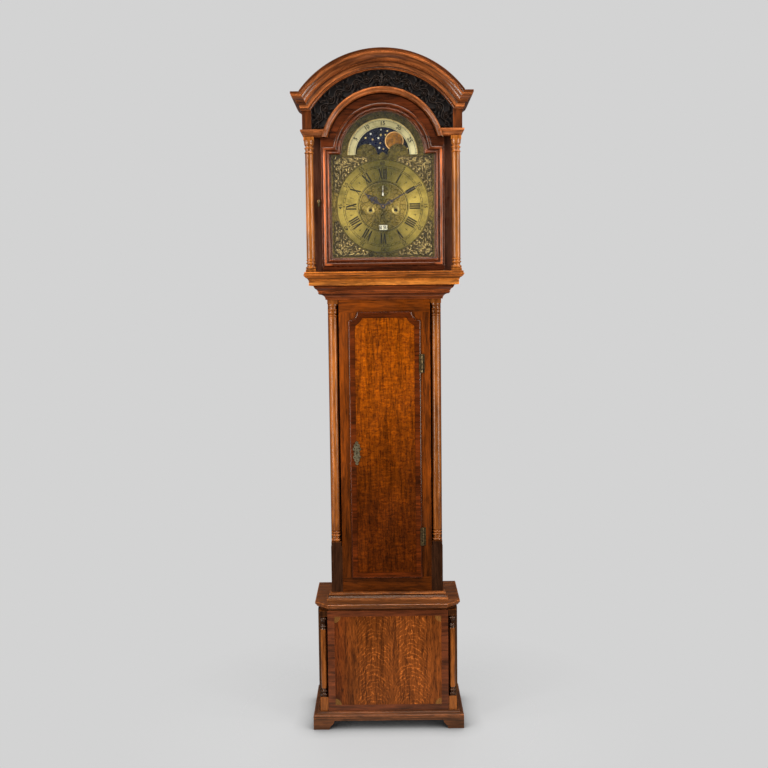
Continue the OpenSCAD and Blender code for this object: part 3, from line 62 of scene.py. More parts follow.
ringLow, ringHigh = edges("chapter_ring")
dialX = (ringLow[0] + ringHigh[0]) / 2
dialZ = (ringLow[2] + ringHigh[2]) / 2
ringOuter = (ringHigh[0] - ringLow[0]) / 2
plateFront = ringHigh[1]  # the plate's face, which the ring lies on
ringFront = ringLow[1]
discLow, discHigh = edges("moon_disc")
moonZ = (discLow[2] + discHigh[2]) / 2
discFront = discLow[1]
doorLow, doorHigh = edges("trunk_door")
panelLow, panelHigh = edges("base_front_panel")
fretLow, fretHigh = edges("frieze_fret")
print("dial centre at", round(dialZ, 4), "moon centre at", round(moonZ, 4))


# Camera at the photograph's angle: slightly above the middle, turned down a little

cameraView = {"distance": 3.2, "height": 1.432, "side": -0.0035, "lens": 46.875, "tilt": 5.2, "roll": 0.65}


def makeCamera(view):
    data = bpy.data.cameras.new("photoCamera")
    data.lens = view["lens"]
    data.sensor_width = 36
    data.clip_end = 50
    camera = bpy.data.objects.new("photoCamera", data)
    bpy.context.scene.collection.objects.link(camera)
    frontY = panelLow[1]
    camera.location = (view["side"], frontY - view["distance"], view["height"])
    camera.rotation_euler = (math.radians(90 - view["tilt"]), 0, 0)
    camera.rotation_euler.rotate_axis("Z", math.radians(-view["roll"]))
    bpy.context.scene.camera = camera


makeCamera(cameraView)


# Shader building

def paint(red, green, blue):
    # a colour as seen on screen, 0 to 255, to the linear value that shaders use
    share = np.array([red, green, blue]) / 255
    linear = np.where(share <= 0.04045, share / 12.92, ((share + 0.055) / 1.055) ** 2.4)
    return (*map(float, linear), 1.0)


def addNode(tree, kind, sockets=None, **settings):
    node = tree.nodes.new(kind)
    for name, value in settings.items():
        setattr(node, name, value)
    for name, value in (sockets or {}).items():
        if isinstance(value, bpy.types.NodeSocket):
            tree.links.new(value, node.inputs[name])
        else:
            node.inputs[name].default_value = value
    return node


def calc(tree, operation, first, second=0.0, third=0.0):
    return addNode(tree, "ShaderNodeMath", {0: first, 1: second, 2: third}, operation=operation).outputs[0]


def product(tree, first, *others):
    for other in others:
        first = calc(tree, "MULTIPLY", first, other)
    return first


def rest(tree, share):
    return calc(tree, "SUBTRACT", 1.0, share)


def lengthOf(tree, first, second):
    return calc(tree, "SQRT", calc(tree, "MULTIPLY_ADD", first, first, product(tree, second, second)))


def offMiddle(tree, value, middle):
    return calc(tree, "ABSOLUTE", calc(tree, "SUBTRACT", value, middle))


def vectorCalc(tree, operation, *vectors, output="Vector"):
    node = addNode(tree, "ShaderNodeVectorMath", dict(enumerate(vectors)), operation=operation)
    return node.outputs[output]


def splitPlace(tree, place):
    return addNode(tree, "ShaderNodeSeparateXYZ", {0: place}).outputs


def blendColor(tree, share, first, second, kind="MIX"):
    sockets = {0: share, 6: first, 7: second}
    return addNode(tree, "ShaderNodeMix", sockets, data_type="RGBA", blend_type=kind).outputs[2]


def scaled(tree, color, factor):
    return blendColor(tree, 1.0, color, (*factor, 1), "MULTIPLY")


def toned(tree, share, color, factor):
    # the colour times the factor, as far as the share goes
    return blendColor(tree, share, color, scaled(tree, color, factor))


def remap(tree, value, low, high, toLow=0.0, toHigh=1.0):
    sockets = {"Value": value, "From Min": low, "From Max": high, "To Min": toLow, "To Max": toHigh}
    return addNode(tree, "ShaderNodeMapRange", sockets, clamp=True).outputs["Result"]


def between(tree, value, low, high, soft):
    # 1 from low to high and 0 beyond, with soft ends
    above = remap(tree, value, low - soft, low + soft)
    return product(tree, above, remap(tree, value, high + soft, high - soft))


def mottled(tree, value, low, high, dark, light):
    # from a dark to a light colour, both as seen on screen, while the value runs from low to high
    return blendColor(tree, remap(tree, value, low, high), paint(*dark), paint(*light))


def noise(tree, vector, scale, detail=4.0, roughness=0.55, distortion=0.0):
    sockets = {"Vector": vector, "Scale": scale, "Detail": detail, "Roughness": roughness,
               "Distortion": distortion}
    return addNode(tree, "ShaderNodeTexNoise", sockets).outputs["Fac"]


def stretch(tree, vector, scale, shift=(0, 0, 0), turn=(0, 0, 0)):
    sockets = {"Vector": vector, "Location": shift, "Rotation": turn, "Scale": scale}
    return addNode(tree, "ShaderNodeMapping", sockets).outputs["Vector"]


def openness(tree, distance, samples=4):
    # 1 where nothing stands near, 0 where the surface is closed in
    return addNode(tree, "ShaderNodeAmbientOcclusion", {"Distance": distance}, samples=samples).outputs["AO"]


def newGroup(name, inputs, outputs):
    group = bpy.data.node_groups.new(name, "ShaderNodeTree")
    for label, kind, value in inputs:
        socket = group.interface.new_socket(label, in_out="INPUT", socket_type="NodeSocket" + kind)
        if value is not None:
            socket.default_value = value
    for label, kind in outputs:
        group.interface.new_socket(label, in_out="OUTPUT", socket_type="NodeSocket" + kind)
    return group, group.nodes.new("NodeGroupInput").outputs, group.nodes.new("NodeGroupOutput").inputs


def placeGroup(tree, group, sockets):
    return addNode(tree, "ShaderNodeGroup", sockets, node_tree=group).outputs


def newMaterial(name, **constants):
    material = bpy.data.materials.new(name)
    material.use_nodes = True
    tree = material.node_tree
    shader = tree.nodes["Principled BSDF"]
    for label, value in constants.items():
        shader.inputs[label.replace("_", " ")].default_value = value
    place = addNode(tree, "ShaderNodeTexCoord").outputs["Object"]
    return material, tree, shader, place


def finishSurface(tree, shader, color, rough, height, distance, strength):
    tree.links.new(color, shader.inputs["Base Color"])
    tree.links.new(rough, shader.inputs["Roughness"])
    bump = addNode(tree, "ShaderNodeBump", {"Height": height, "Distance": distance, "Strength": strength})
    tree.links.new(bump.outputs["Normal"], shader.inputs["Normal"])


# Grain shared by every wood: long streaks and dark pores along local Z, with a slow change of tone

def makeGrainGroup():
    inputs = [("Vector", "Vector", None), ("Light", "Color", (1, 1, 1, 1)), ("Dark", "Color", (0, 0, 0, 1)),
              ("Fineness", "Float", 60.0), ("Pores", "Float", 0.5), ("Mottle", "Float", 0.3)]
    outputs = [("Color", "Color"), ("Height", "Float"), ("Rough", "Float")]
    group, given, wanted = newGroup("grain", inputs, outputs)
    vector, fineness = given["Vector"], given["Fineness"]
    long = stretch(group, vector, (1, 1, 0.07))
    shorter = stretch(group, vector, (1, 1, 0.12))
    bent = noise(group, vector, 5.0, 2.0)
    streak = noise(group, long, fineness, 6.0, 0.62, 0.8)
    middle = noise(group, shorter, product(group, fineness, 2.6), 3.0, 0.6, 0.4)
    fine = noise(group, long, product(group, fineness, 7.0), 3.0, 0.6)
    patch = noise(group, stretch(group, vector, (1, 1, 0.35)), 9.0, 3.0, 0.5, 0.6)
    tone = product(group, remap(group, streak, 0.39, 0.61), 0.5)
    tone = calc(group, "MULTIPLY_ADD", remap(group, middle, 0.41, 0.6), 0.36, tone)
    tone = calc(group, "MULTIPLY_ADD", bent, 0.16, tone)
    color = blendColor(group, tone, given["Dark"], given["Light"])
    shade = calc(group, "MULTIPLY_ADD", remap(group, patch, 0.35, 0.68), given["Mottle"],
                 rest(group, given["Mottle"]))
    pore = product(group, remap(group, fine, 0.54, 0.66), given["Pores"])
    shade = product(group, shade, rest(group, product(group, pore, 0.85)))
    tinted = addNode(group, "ShaderNodeVectorMath", {0: color, "Scale": shade}, operation="SCALE")
    group.links.new(tinted.outputs["Vector"], wanted["Color"])
    group.links.new(calc(group, "SUBTRACT", streak, pore), wanted["Height"])
    group.links.new(remap(group, patch, 0.3, 0.7, 0.75, 1.25), wanted["Rough"])
    return group


# Rubbed edges with a painted highlight, dirt with painted shade: light where the surface turns sharply
# outwards, dark where it is closed in

def makeWearGroup():
    inputs = [("Color", "Color", (1, 1, 1, 1)), ("Vector", "Vector", None), ("RubAndHighlight", "Float", 0.5),
              ("DirtAndShade", "Float", 0.6), ("Width", "Float", 0.0028)]
    group, given, wanted = newGroup("wear_and_painted_light", inputs, [("Color", "Color"), ("Edge", "Float")])
    bevel = addNode(group, "ShaderNodeBevel", {"Radius": given["Width"]}, samples=4).outputs["Normal"]
    flat = addNode(group, "ShaderNodeNewGeometry").outputs["Normal"]
    match = vectorCalc(group, "DOT_PRODUCT", bevel, flat, output="Value")
    broken = remap(group, noise(group, given["Vector"], 70.0, 4.0, 0.7), 0.36, 0.56, 0.3)
    edge = product(group, remap(group, match, 0.992, 0.9), broken, given["RubAndHighlight"])
    # painted highlight on the sharp edges, together with their rubbed wear
    wornAndLit = toned(group, edge, given["Color"], (3.4, 3.2, 3.0))
    # painted shade where the surface is closed in, together with the dirt that gathers there
    hollow, quirk = openness(group, 0.025), openness(group, 0.006)
    closed = calc(group, "MAXIMUM", remap(group, hollow, 0.8, 0.3), remap(group, quirk, 0.85, 0.5))
    closed = product(group, closed, given["DirtAndShade"])
    dark = scaled(group, given["Color"], (0.25, 0.2, 0.18))
    group.links.new(blendColor(group, closed, wornAndLit, dark), wanted["Color"])
    group.links.new(edge, wanted["Edge"])
    return group


# Silver grain of quartered oak: thin pale arcs, one nest standing over the other along a line of crowns

def makeArcGroup():
    inputs = [("Vector", "Vector", None), ("Middle", "Float", 0.0), ("Curve", "Float", 16.0),
              ("Spacing", "Float", 0.013), ("Reach", "Float", 0.07)]
    group, given, wanted = newGroup("silverGrain", inputs, [("Line", "Float")])
    vector, reach = given["Vector"], given["Reach"]
    parts = splitPlace(group, vector)
    wobble = product(group, calc(group, "SUBTRACT", noise(group, vector, 30.0, 5.0, 0.6), 0.5), 0.06)
    across = calc(group, "SUBTRACT", parts["X"], given["Middle"])
    drop = product(group, across, across, given["Curve"])
    level = calc(group, "ADD", calc(group, "ADD", parts["Z"], drop), wobble)
    phase = calc(group, "FRACT", calc(group, "DIVIDE", level, given["Spacing"]))
    line = remap(group, offMiddle(group, phase, 0.5), 0.13, 0.04)
    broken = remap(group, noise(group, vector, 70.0, 3.0, 0.6), 0.42, 0.54, 0.15)
    fade = remap(group, calc(group, "ABSOLUTE", across), reach, product(group, reach, 0.5))
    group.links.new(product(group, line, broken, fade), wanted["Line"])
    return group


grainGroup = makeGrainGroup()
wearAndPaintedLightGroup = makeWearGroup()
arcGroup = makeArcGroup()


# Shapes of inlays and bands as masks, 1 inside and 0 outside, from places in metres

def boxMask(tree, parts, low, high, inset, soft=0.0006):
    # a frame's box seen from the front, drawn in by the inset
    spans = [between(tree, parts[axis], low[number] + inset, high[number] - inset, soft)
             for axis, number in (("X", 0), ("Z", 2))]
    return product(tree, *spans)


def discMask(tree, place, middleX, middleZ, radius, soft=0.0006):
    flat = vectorCalc(tree, "MULTIPLY", place, (1, 0, 1))
    away = vectorCalc(tree, "DISTANCE", flat, (middleX, 0, middleZ), output="Value")
    return remap(tree, away, radius + soft, radius - soft)


# Woods: two tones of the grain, how fine and how open it is, and the gloss and polish over it

def traitTable(traits, rows):
    return {kind: dict(zip(traits, row)) for kind, row in rows.items()}


woods = traitTable(("light", "dark", "fineness", "pores", "gloss", "coat"), {
    "case_oak": ((112, 66, 30), (56, 32, 15), 45, 0.6, 0.5, 0.05),
    "side": ((122, 58, 20), (52, 22, 8), 38, 0.5, 0.34, 0.15),
    "stile": ((158, 72, 6), (64, 25, 2), 60, 0.6, 0.32, 0.04),
    "band": ((132, 54, 10), (52, 20, 4), 60, 0.4, 0.32, 0.15),
    "door_field": ((178, 84, 1), (94, 40, 1), 64, 0.8, 0.32, 0.03),
    "frame": ((136, 66, 32), (54, 25, 14), 50, 0.4, 0.36, 0.1),
    "panel_oak": ((158, 80, 26), (66, 28, 6), 90, 1.0, 0.36, 0.06),
    "hood_door": ((112, 50, 20), (40, 15, 5), 46, 0.5, 0.22, 0.3),
    "hood_board": ((150, 92, 66), (78, 42, 28), 46, 0.4, 0.3, 0.25),
    "column": ((192, 108, 40), (98, 46, 11), 50, 0.5, 0.3, 0.15),
    "hood_column": ((208, 122, 46), (108, 54, 16), 50, 0.4, 0.28, 0.25),
    "cornice": ((160, 84, 36), (54, 23, 8), 56, 0.5, 0.24, 0.4),
    "fascia": ((208, 116, 38), (88, 42, 12), 56, 0.5, 0.28, 0.25),
    "throat": ((146, 68, 24), (56, 22, 8), 56, 0.4, 0.28, 0.25),
    "slab": ((150, 84, 38), (62, 28, 10), 70, 0.7, 0.36, 0.15),
    "feet": ((118, 66, 34), (52, 27, 13), 60, 0.6, 0.4, 0.1),
})
polish = (1.0, 0.74, 0.5, 1.0)  # the old finish mirrors warm light
finishCoat = {"Coat_Roughness": 0.14, "Coat_IOR": 1.7, "Specular_IOR_Level": 0.4, "Specular_Tint": polish}
veneerCoat = {"Specular_IOR_Level": 0.25, "Specular_Tint": polish}
layings = {"upright": (0, 0, 0), "across": (0, math.pi / 2, 0)}


def grainOf(tree, place, wood, laying="upright", shift=0.0, mottle=0.4):
    turned = stretch(tree, place, (1, 1, 1), (shift, shift * 0.7, shift * 1.3), layings[laying])
    return placeGroup(tree, grainGroup, {
        "Vector": turned, "Light": paint(*wood["light"]), "Dark": paint(*wood["dark"]),
        "Fineness": wood["fineness"], "Pores": wood["pores"], "Mottle": mottle})


def finishWood(tree, shader, place, color, grain, wood, rubAndHighlight, dirtAndShade):
    wornAndLit = placeGroup(tree, wearAndPaintedLightGroup, {"Color": color, "Vector": place, "RubAndHighlight": rubAndHighlight, "DirtAndShade": dirtAndShade})
    rough = product(tree, grain["Rough"], wood["gloss"])
    rough = calc(tree, "MULTIPLY_ADD", wornAndLit["Edge"], 0.12, rough)
    finishSurface(tree, shader, wornAndLit["Color"], rough, grain["Height"], 0.0004, 0.35)


def makeWood(kind, laying="upright", rubAndHighlight=0.6, dirtAndShade=0.8, shift=0.0, shade=None, rails=None, highlightCrest=None):
    # shade tones parts by their place (the painted highlight and shade bands of the level mouldings among
    # them), rails is where the grain lies across, crest paints a highlight on high mouldings
    wood = woods[kind]
    material, tree, shader, place = newMaterial(f"{kind}_{laying}", Coat_Weight=wood["coat"], **finishCoat)
    grain = grainOf(tree, place, wood, laying, shift)
    color = grain["Color"]
    if rails:
        across = grainOf(tree, place, wood, "across", shift + 0.3)["Color"]
        color = blendColor(tree, rails(tree, place), color, across)
    if shade:
        color = shade(tree, place, color)
    if highlightCrest:
        # a pale painted highlight on the bead crests
        share = product(tree, reliefMask(tree, 0.72, 1.0), highlightCrest(tree, place))
        color = toned(tree, share, color, (6.0, 7.2, 8.6))
    finishWood(tree, shader, place, color, grain, wood, rubAndHighlight, dirtAndShade)
    return material


def reliefMask(tree, low, high):
    # from the attribute relief, a number from 0 to 1 at each point of a carved or moulded piece
    value = addNode(tree, "ShaderNodeAttribute", attribute_name="relief").outputs["Fac"]
    return remap(tree, value, low, high)


# Places on the case where a finish changes, in metres: heights, or distances from an edge

finishMarks = {"rail": (0.004, 0.002), "sightFoot": (0.006, 0.005), "sightShoulder": (0.130, 0.128),
               "beadSide": (0.160, 0.170), "beadTop": (1.9, 1.86), "blockTop": 0.614, "soft": 0.0005,
               "columnEnds": ((0.102, 0.131), (0.331, 0.376), (0.376, 0.3945)), "lowerTrunk": (1.0, 0.72)}


def railsMask(tree, place, low, up, high, down):
    # 1 on the rails at the foot and the top, measured up from low and down from high
    height = splitPlace(tree, place)["Z"]
    upper = remap(tree, height, high - down[0], high - down[1])
    return calc(tree, "MAXIMUM", upper, remap(tree, height, low + up[0], low + up[1]))


def trunkRails(tree, place):
    return railsMask(tree, place, doorLow[2], finishMarks["rail"], doorHigh[2], finishMarks["rail"])


def hoodDoorRails(tree, place):
    low, high = edges("hood_door_glass")
    return railsMask(tree, place, low[2], finishMarks["sightFoot"], high[2], finishMarks["sightShoulder"])


def hoodDoorCrest(tree, place):
    # painted highlight on the beads: full on the uprights, a tenth of it elsewhere
    parts = splitPlace(tree, place)
    side = remap(tree, calc(tree, "ABSOLUTE", parts["X"]), *finishMarks["beadSide"])
    upright = product(tree, side, remap(tree, parts["Z"], *finishMarks["beadTop"]))
    return calc(tree, "MULTIPLY_ADD", upright, 0.9, 0.1)


strongest = 4  # a band's colour is kept within 0 to 1 in the ramp and multiplied up after it


def profileTones(tree, share, color, paintedBands):
    # painted highlight and shade bands along a moulding's profile: share runs 0 to 1 over it, tone 1 changes
    # nothing
    ramp = tree.nodes.new("ShaderNodeValToRGB")
    stops = ramp.color_ramp.elements
    stops[0].position, stops[1].position = paintedBands[0][0], paintedBands[-1][0]
    for position, tone in paintedBands[1:-1]:
        stops.new(position)
    for stop, (position, tone) in zip(stops, paintedBands):
        # a painted highlight is also paler than the wood, as a sheen is
        pale = max(tone, 1.0)  # what is lighter than the wood is paler too
        stop.color = (tone / strongest, tone * pale ** 0.3 / strongest, tone * pale ** 0.8 / strongest, 1)
    tree.links.new(share, ramp.inputs["Fac"])
    lowered = blendColor(tree, 1.0, color, ramp.outputs["Color"], "MULTIPLY")
    return scaled(tree, lowered, (strongest,) * 3)


# painted highlight and shade bands of the arched and level mouldings, as places across the profile and their
# tones
archedMouldings = {
    "outer": {"centre": 1.8636, "inner": 0.265, "width": 0.059, "low": 2.0036, "high": 2.0576,
              "half": 0.225, "mitre": 0.598,
              "paintedBands": ((0.0, 1.1), (0.03, 0.45), (0.11, 0.6), (0.17, 1.7), (0.28, 1.7), (0.32, 0.55),
                        (0.44, 0.75), (0.49, 1.5), (0.56, 0.9), (0.64, 1.3), (0.69, 0.7), (0.75, 1.7),
                        (0.82, 1.3), (0.87, 0.75), (0.94, 0.4), (1.0, 0.4))},
    "inner": {"centre": 1.8811, "inner": 0.177, "width": 0.0176, "low": 1.9226, "high": 1.9456,
              "half": 0.5, "mitre": 0.0,
              "paintedBands": ((0.0, 0.9), (0.2, 1.3), (0.36, 2.5), (0.46, 2.4), (0.62, 1.2), (0.84, 2.1),
                        (1.0, 1.0))},
}
slabLow, slabHigh = edges("base_top_mouldings")
levelMouldings = {
    "fascia": {"low": 1.4576, "high": 1.5006,
               "paintedBands": ((0.0, 1.2), (0.1, 1.9), (0.24, 1.5), (0.34, 1.2), (0.42, 0.65), (0.54, 0.65),
                         (0.6, 1.0), (0.68, 0.7), (0.76, 0.95), (0.86, 0.55), (0.93, 1.15), (1.0, 0.7))},
    "throat": {"low": 1.412, "high": 1.4576,
               "paintedBands": ((0.0, 1.2), (0.16, 1.4), (0.28, 1.5), (0.34, 0.5), (0.39, 0.3), (0.44, 0.8),
                         (0.52, 1.7), (0.6, 1.7), (0.68, 0.8), (0.9, 0.95), (0.95, 0.7), (1.0, 0.2))},
    "slab": {"low": slabLow[2], "high": slabHigh[2],
             "paintedBands": ((0.0, 0.9), (0.34, 1.0), (0.4, 1.2), (0.46, 1.1), (0.485, 1.0), (0.5, 1.9),
                       (0.57, 1.7), (0.62, 0.75), (0.74, 0.7), (0.8, 0.5), (0.84, 1.3), (0.92, 1.4),
                       (0.96, 0.8), (1.0, 0.8))},
}


def makeArchedWood(kind, values, shift=0.0):
    # grain bends with the arch, the level ends beyond the mitre have their own, and both show the painted
    # highlight and shade bands
    wood = woods[kind]
    material, tree, shader, place = newMaterial(f"{kind}_arched_{round(values['inner'] * 1000)}",
                                                Coat_Weight=wood["coat"], **finishCoat)
    parts = splitPlace(tree, place)
    inner, outer = values["inner"], values["inner"] + values["width"]
    rise = calc(tree, "SUBTRACT", parts["Z"], values["centre"])
    radius = lengthOf(tree, rise, parts["X"])
    along = product(tree, calc(tree, "ARCTAN2", parts["X"], rise), inner)
    bent = addNode(tree, "ShaderNodeCombineXYZ", {"X": radius, "Y": parts["Y"], "Z": along}).outputs[0]
    grain = grainOf(tree, bent, wood, "upright", shift, 0.5)
    level = grainOf(tree, place, wood, "across", shift, 0.5)
    above = calc(tree, "SUBTRACT", parts["Z"], values["low"])
    line = calc(tree, "MULTIPLY_ADD", above, values["mitre"], values["half"])
    beyond = remap(tree, calc(tree, "SUBTRACT", calc(tree, "ABSOLUTE", parts["X"]), line), -0.0005, 0.0005)
    if not values["mitre"]:
        beyond = remap(tree, radius, outer + 0.0004, outer + 0.001)
    color = blendColor(tree, beyond, grain["Color"], level["Color"])
    arched = remap(tree, radius, inner, outer)
    straight = remap(tree, parts["Z"], values["low"], values["high"])
    share = calc(tree, "ADD", product(tree, straight, beyond),
                 product(tree, arched, rest(tree, beyond)))
    color = profileTones(tree, share, color, values["paintedBands"])
    finishWood(tree, shader, place, color, grain, wood, 0.8, 0.8)
    return material


def makeLevelWood(kind):
    # a level moulding, with its painted highlight and shade bands between two heights
    values = levelMouldings[kind]

    def shade(tree, place, color):
        share = remap(tree, splitPlace(tree, place)["Z"], values["low"], values["high"])
        return profileTones(tree, share, color, values["paintedBands"])

    return makeWood(kind, "across", 1.0, shade=shade)


def lowerTrunkShade(tree, place, color):
    # the trunk darkens towards its foot, unevenly
    uneven = calc(tree, "MULTIPLY_ADD", noise(tree, place, 6.0, 3.0), 0.3, splitPlace(tree, place)["Z"])
    return toned(tree, remap(tree, uneven, *finishMarks["lowerTrunk"], 0.0, 0.85), color, (0.4, 0.42, 0.8))


def columnBlockShade(tree, place, color):
    # the plain blocks under the trunk columns are dark
    top, soft = finishMarks["blockTop"], 2 * finishMarks["soft"]
    low = remap(tree, splitPlace(tree, place)["Z"], top + soft, top - soft)
    return toned(tree, low, color, (0.13, 0.15, 0.4))


def columnEndShade(tree, place, color):
    # the turned bases, the capitals and the blocks over them are dark on the base columns
    height = splitPlace(tree, place)["Z"]
    share = 0.0
    for low, high in finishMarks["columnEnds"]:
        share = calc(tree, "MAXIMUM", share, between(tree, height, low, high, finishMarks["soft"]))
    return toned(tree, share, color, (0.16, 0.17, 0.3))


trunkDoor = {"band": 0.0205, "scoop": 0.0495, "line": 0.0011, "darkFrom": (1.42, 0.95)}


def makeDoorWood(values):
    # oak field within a dark cross-laid band that follows the scooped corners, a thin line between them
    field = woods["door_field"]
    material, tree, shader, place = newMaterial("trunk_door_veneer", Coat_Weight=field["coat"],
                                                Coat_Roughness=0.16, **veneerCoat)
    parts = splitPlace(tree, place)
    masks = []
    for grow in (0.0, values["line"]):
        mask = boxMask(tree, parts, doorLow, doorHigh, values["band"] - grow)
        for cornerX in (doorLow[0], doorHigh[0]):
            scoop = discMask(tree, place, cornerX, doorHigh[2], values["scoop"] - grow)
            mask = product(tree, mask, rest(tree, scoop))
        masks.append(mask)
    grain = grainOf(tree, place, field, mottle=0.35)
    ripple = noise(tree, stretch(tree, place, (0.3, 1, 1)), 130.0, 3.0, 0.65)
    fleck = noise(tree, stretch(tree, place, (0.7, 1, 1)), 190.0, 2.0, 0.7)
    cloud = noise(tree, stretch(tree, place, (1, 1, 0.4)), 11.0, 3.0)
    uneven = calc(tree, "MULTIPLY_ADD", cloud, 0.45, parts["Z"])
    oak = toned(tree, remap(tree, ripple, 0.47, 0.62, 0.0, 0.8), grain["Color"], (1.7, 1.75, 1.2))
    oak = toned(tree, remap(tree, fleck, 0.53, 0.63, 0.0, 0.8), oak, (0.5, 0.36, 0.5))
    oak = toned(tree, remap(tree, uneven, *values["darkFrom"]), oak, (0.3, 0.26, 1.0))
    across = grainOf(tree, place, woods["band"], "across", 0.4, 0.6)["Color"]
    band = toned(tree, masks[1], across, (0.3, 0.3, 0.3))
    color = blendColor(tree, masks[0], band, oak)
    finishWood(tree, shader, place, color, grain, field, 0.8, 0.8)
    return material


basePanel = {"nests": ((-0.045, 0.0), (0.078, 0.006)), "curve": 15.0, "spacing": 0.0155, "reach": 0.072,
             "darkSide": (0.09, 0.03), "fan": 0.021, "blades": 7}


def makePanelOak(values):
    # quartered oak: two nests of silver grain, and a small pale fan let into each corner
    oak = woods["panel_oak"]
    material, tree, shader, place = newMaterial("base_panel_veneer", Coat_Weight=oak["coat"],
                                                Coat_Roughness=0.18, **veneerCoat)
    grain = grainOf(tree, place, oak, mottle=0.35)
    parts = splitPlace(tree, place)
    uneven = calc(tree, "MULTIPLY_ADD", noise(tree, place, 12.0, 3.0), 0.05, parts["X"])
    fromX, toX = panelLow[0] + np.array(values["darkSide"])
    color = toned(tree, remap(tree, uneven, fromX, toX), grain["Color"], (0.8, 0.66, 0.7))
    lines = 0.0
    for middle, shift in values["nests"]:
        moved = stretch(tree, place, (1, 1, 1), (0, 0, shift))
        nest = {"Vector": moved, "Middle": middle, "Curve": values["curve"], "Spacing": values["spacing"],
                "Reach": values["reach"]}
        lines = calc(tree, "MAXIMUM", lines, placeGroup(tree, arcGroup, nest)["Line"])
    color = toned(tree, lines, color, (2.6, 2.8, 3.0))
    for cornerX in (panelLow[0], panelHigh[0]):
        for cornerZ in (panelLow[2], panelHigh[2]):
            awayX, awayZ = offMiddle(tree, parts["X"], cornerX), offMiddle(tree, parts["Z"], cornerZ)
            angle = calc(tree, "ARCTAN2", awayZ, awayX)
            blade = calc(tree, "SINE", product(tree, angle, 4.0 * values["blades"]))
            fan = mottled(tree, blade, -0.6, 0.6, (76, 52, 26), (168, 122, 58))
            inside = discMask(tree, place, cornerX, cornerZ, values["fan"])
            color = blendColor(tree, product(tree, inside, 0.5), color, fan)
    finishWood(tree, shader, place, color, grain, oak, 0.3, 0.8)
    return material


def makeCarving():
    # near-black stained carving, lighter on the carved tops as a painted highlight
    material, tree, shader, place = newMaterial("black_carving", Specular_IOR_Level=0.3, Coat_Weight=0.12,
                                                Coat_Roughness=0.35)
    soft = noise(tree, place, 60.0, 4.0)
    color = mottled(tree, soft, 0.35, 0.7, (15, 9, 6), (30, 19, 13))
    # painted highlight on the carved tops
    color = blendColor(tree, reliefMask(tree, 0.45, 1.0), color, paint(56, 41, 31))
    wornAndLit = placeGroup(tree, wearAndPaintedLightGroup, {"Color": color, "Vector": place, "RubAndHighlight": 0.9, "DirtAndShade": 0.8,
                                        "Width": 0.0015})
    rough = remap(tree, soft, 0.3, 0.7, 0.38, 0.6)
    finishSurface(tree, shader, wornAndLit["Color"], rough, noise(tree, place, 260.0, 3.0), 0.0003, 0.4)
    return material


# Metals: two tones, how rough they are, how fine their spots are, and how metallic they look

metals = traitTable(("light", "dark", "rough", "spots", "metal"), {
    "dial_brass": ((104, 88, 36), (50, 44, 16), 0.42, 60.0, 0.6),
    "ring_brass": ((90, 79, 28), (60, 54, 18), 0.38, 45.0, 0.6),
    "silvered": ((188, 175, 126), (134, 122, 80), 0.4, 40.0, 0.45),
    "pale_steel": ((240, 234, 214), (190, 182, 156), 0.3, 90.0, 0.25),
    "fitting_brass": ((222, 204, 160), (96, 82, 54), 0.34, 120.0, 0.85),
    "bright_brass": ((236, 214, 156), (160, 132, 76), 0.22, 60.0, 0.9),
    "bead_gold": ((226, 196, 118), (160, 128, 62), 0.4, 60.0, 0.3),
    "turned_brass": ((192, 166, 92), (118, 98, 44), 0.32, 60.0, 0.85),
    "movement_brass": ((196, 158, 82), (142, 110, 54), 0.3, 50.0, 0.95),
    "bell_bronze": ((170, 148, 104), (110, 92, 62), 0.28, 30.0, 0.95),
    "iron": ((92, 88, 84), (46, 42, 40), 0.42, 90.0, 0.9),
    "blued_steel": ((86, 76, 80), (28, 24, 28), 0.3, 200.0, 0.7),
    "hinge_iron": ((142, 118, 76), (44, 34, 26), 0.4, 150.0, 0.8),
})
dialOnly = ("dial_brass", "ring_brass", "silvered")  # these serve the dial's faces alone
steelAndShadeDiscs = {"movement_brass": ((-0.0406, -0.0115, 0.0062), (0.0406, -0.0115, 0.0062)),
             "pale_steel": ((0, 0.048, 0.0036),)}
dirtAndShade = {"movement_brass": 1.0}


def makeMetal(kind):
    metal = metals[kind]
    material, tree, shader, place = newMaterial(kind, Metallic=metal["metal"])
    spots = noise(tree, place, metal["spots"], 5.0, 0.6)
    color = mottled(tree, spots, 0.35, 0.68, metal["dark"], metal["light"])
    for middleX, middleZ, radius in steelAndShadeDiscs.get(kind, ()):
        # dark steel at the winding arbors and the seconds hand's hub, measured from the dial's centre; round
        # the winding arbors it is also the painted shade inside the holes
        steelAndShade = discMask(tree, place, dialX + middleX, dialZ + middleZ, radius)
        color = toned(tree, steelAndShade, color, (0.1, 0.11, 0.2))
    wornAndLit = placeGroup(tree, wearAndPaintedLightGroup, {"Color": color, "Vector": place, "RubAndHighlight": 0.35,
                                        "DirtAndShade": dirtAndShade.get(kind, 0.5), "Width": 0.0006})
    rough = remap(tree, spots, 0.3, 0.7, metal["rough"] * 1.25, metal["rough"] * 0.8)
    fine = noise(tree, place, metal["spots"] * 9, 2.0)
    finishSurface(tree, shader, wornAndLit["Color"], rough, fine, 0.0001, 0.25)
    return material


# Turned face of the dial: a painted sheen, lighter to the left and right of the centre where circular
# brushing would reflect the lamps, over fine turned rings as bumps

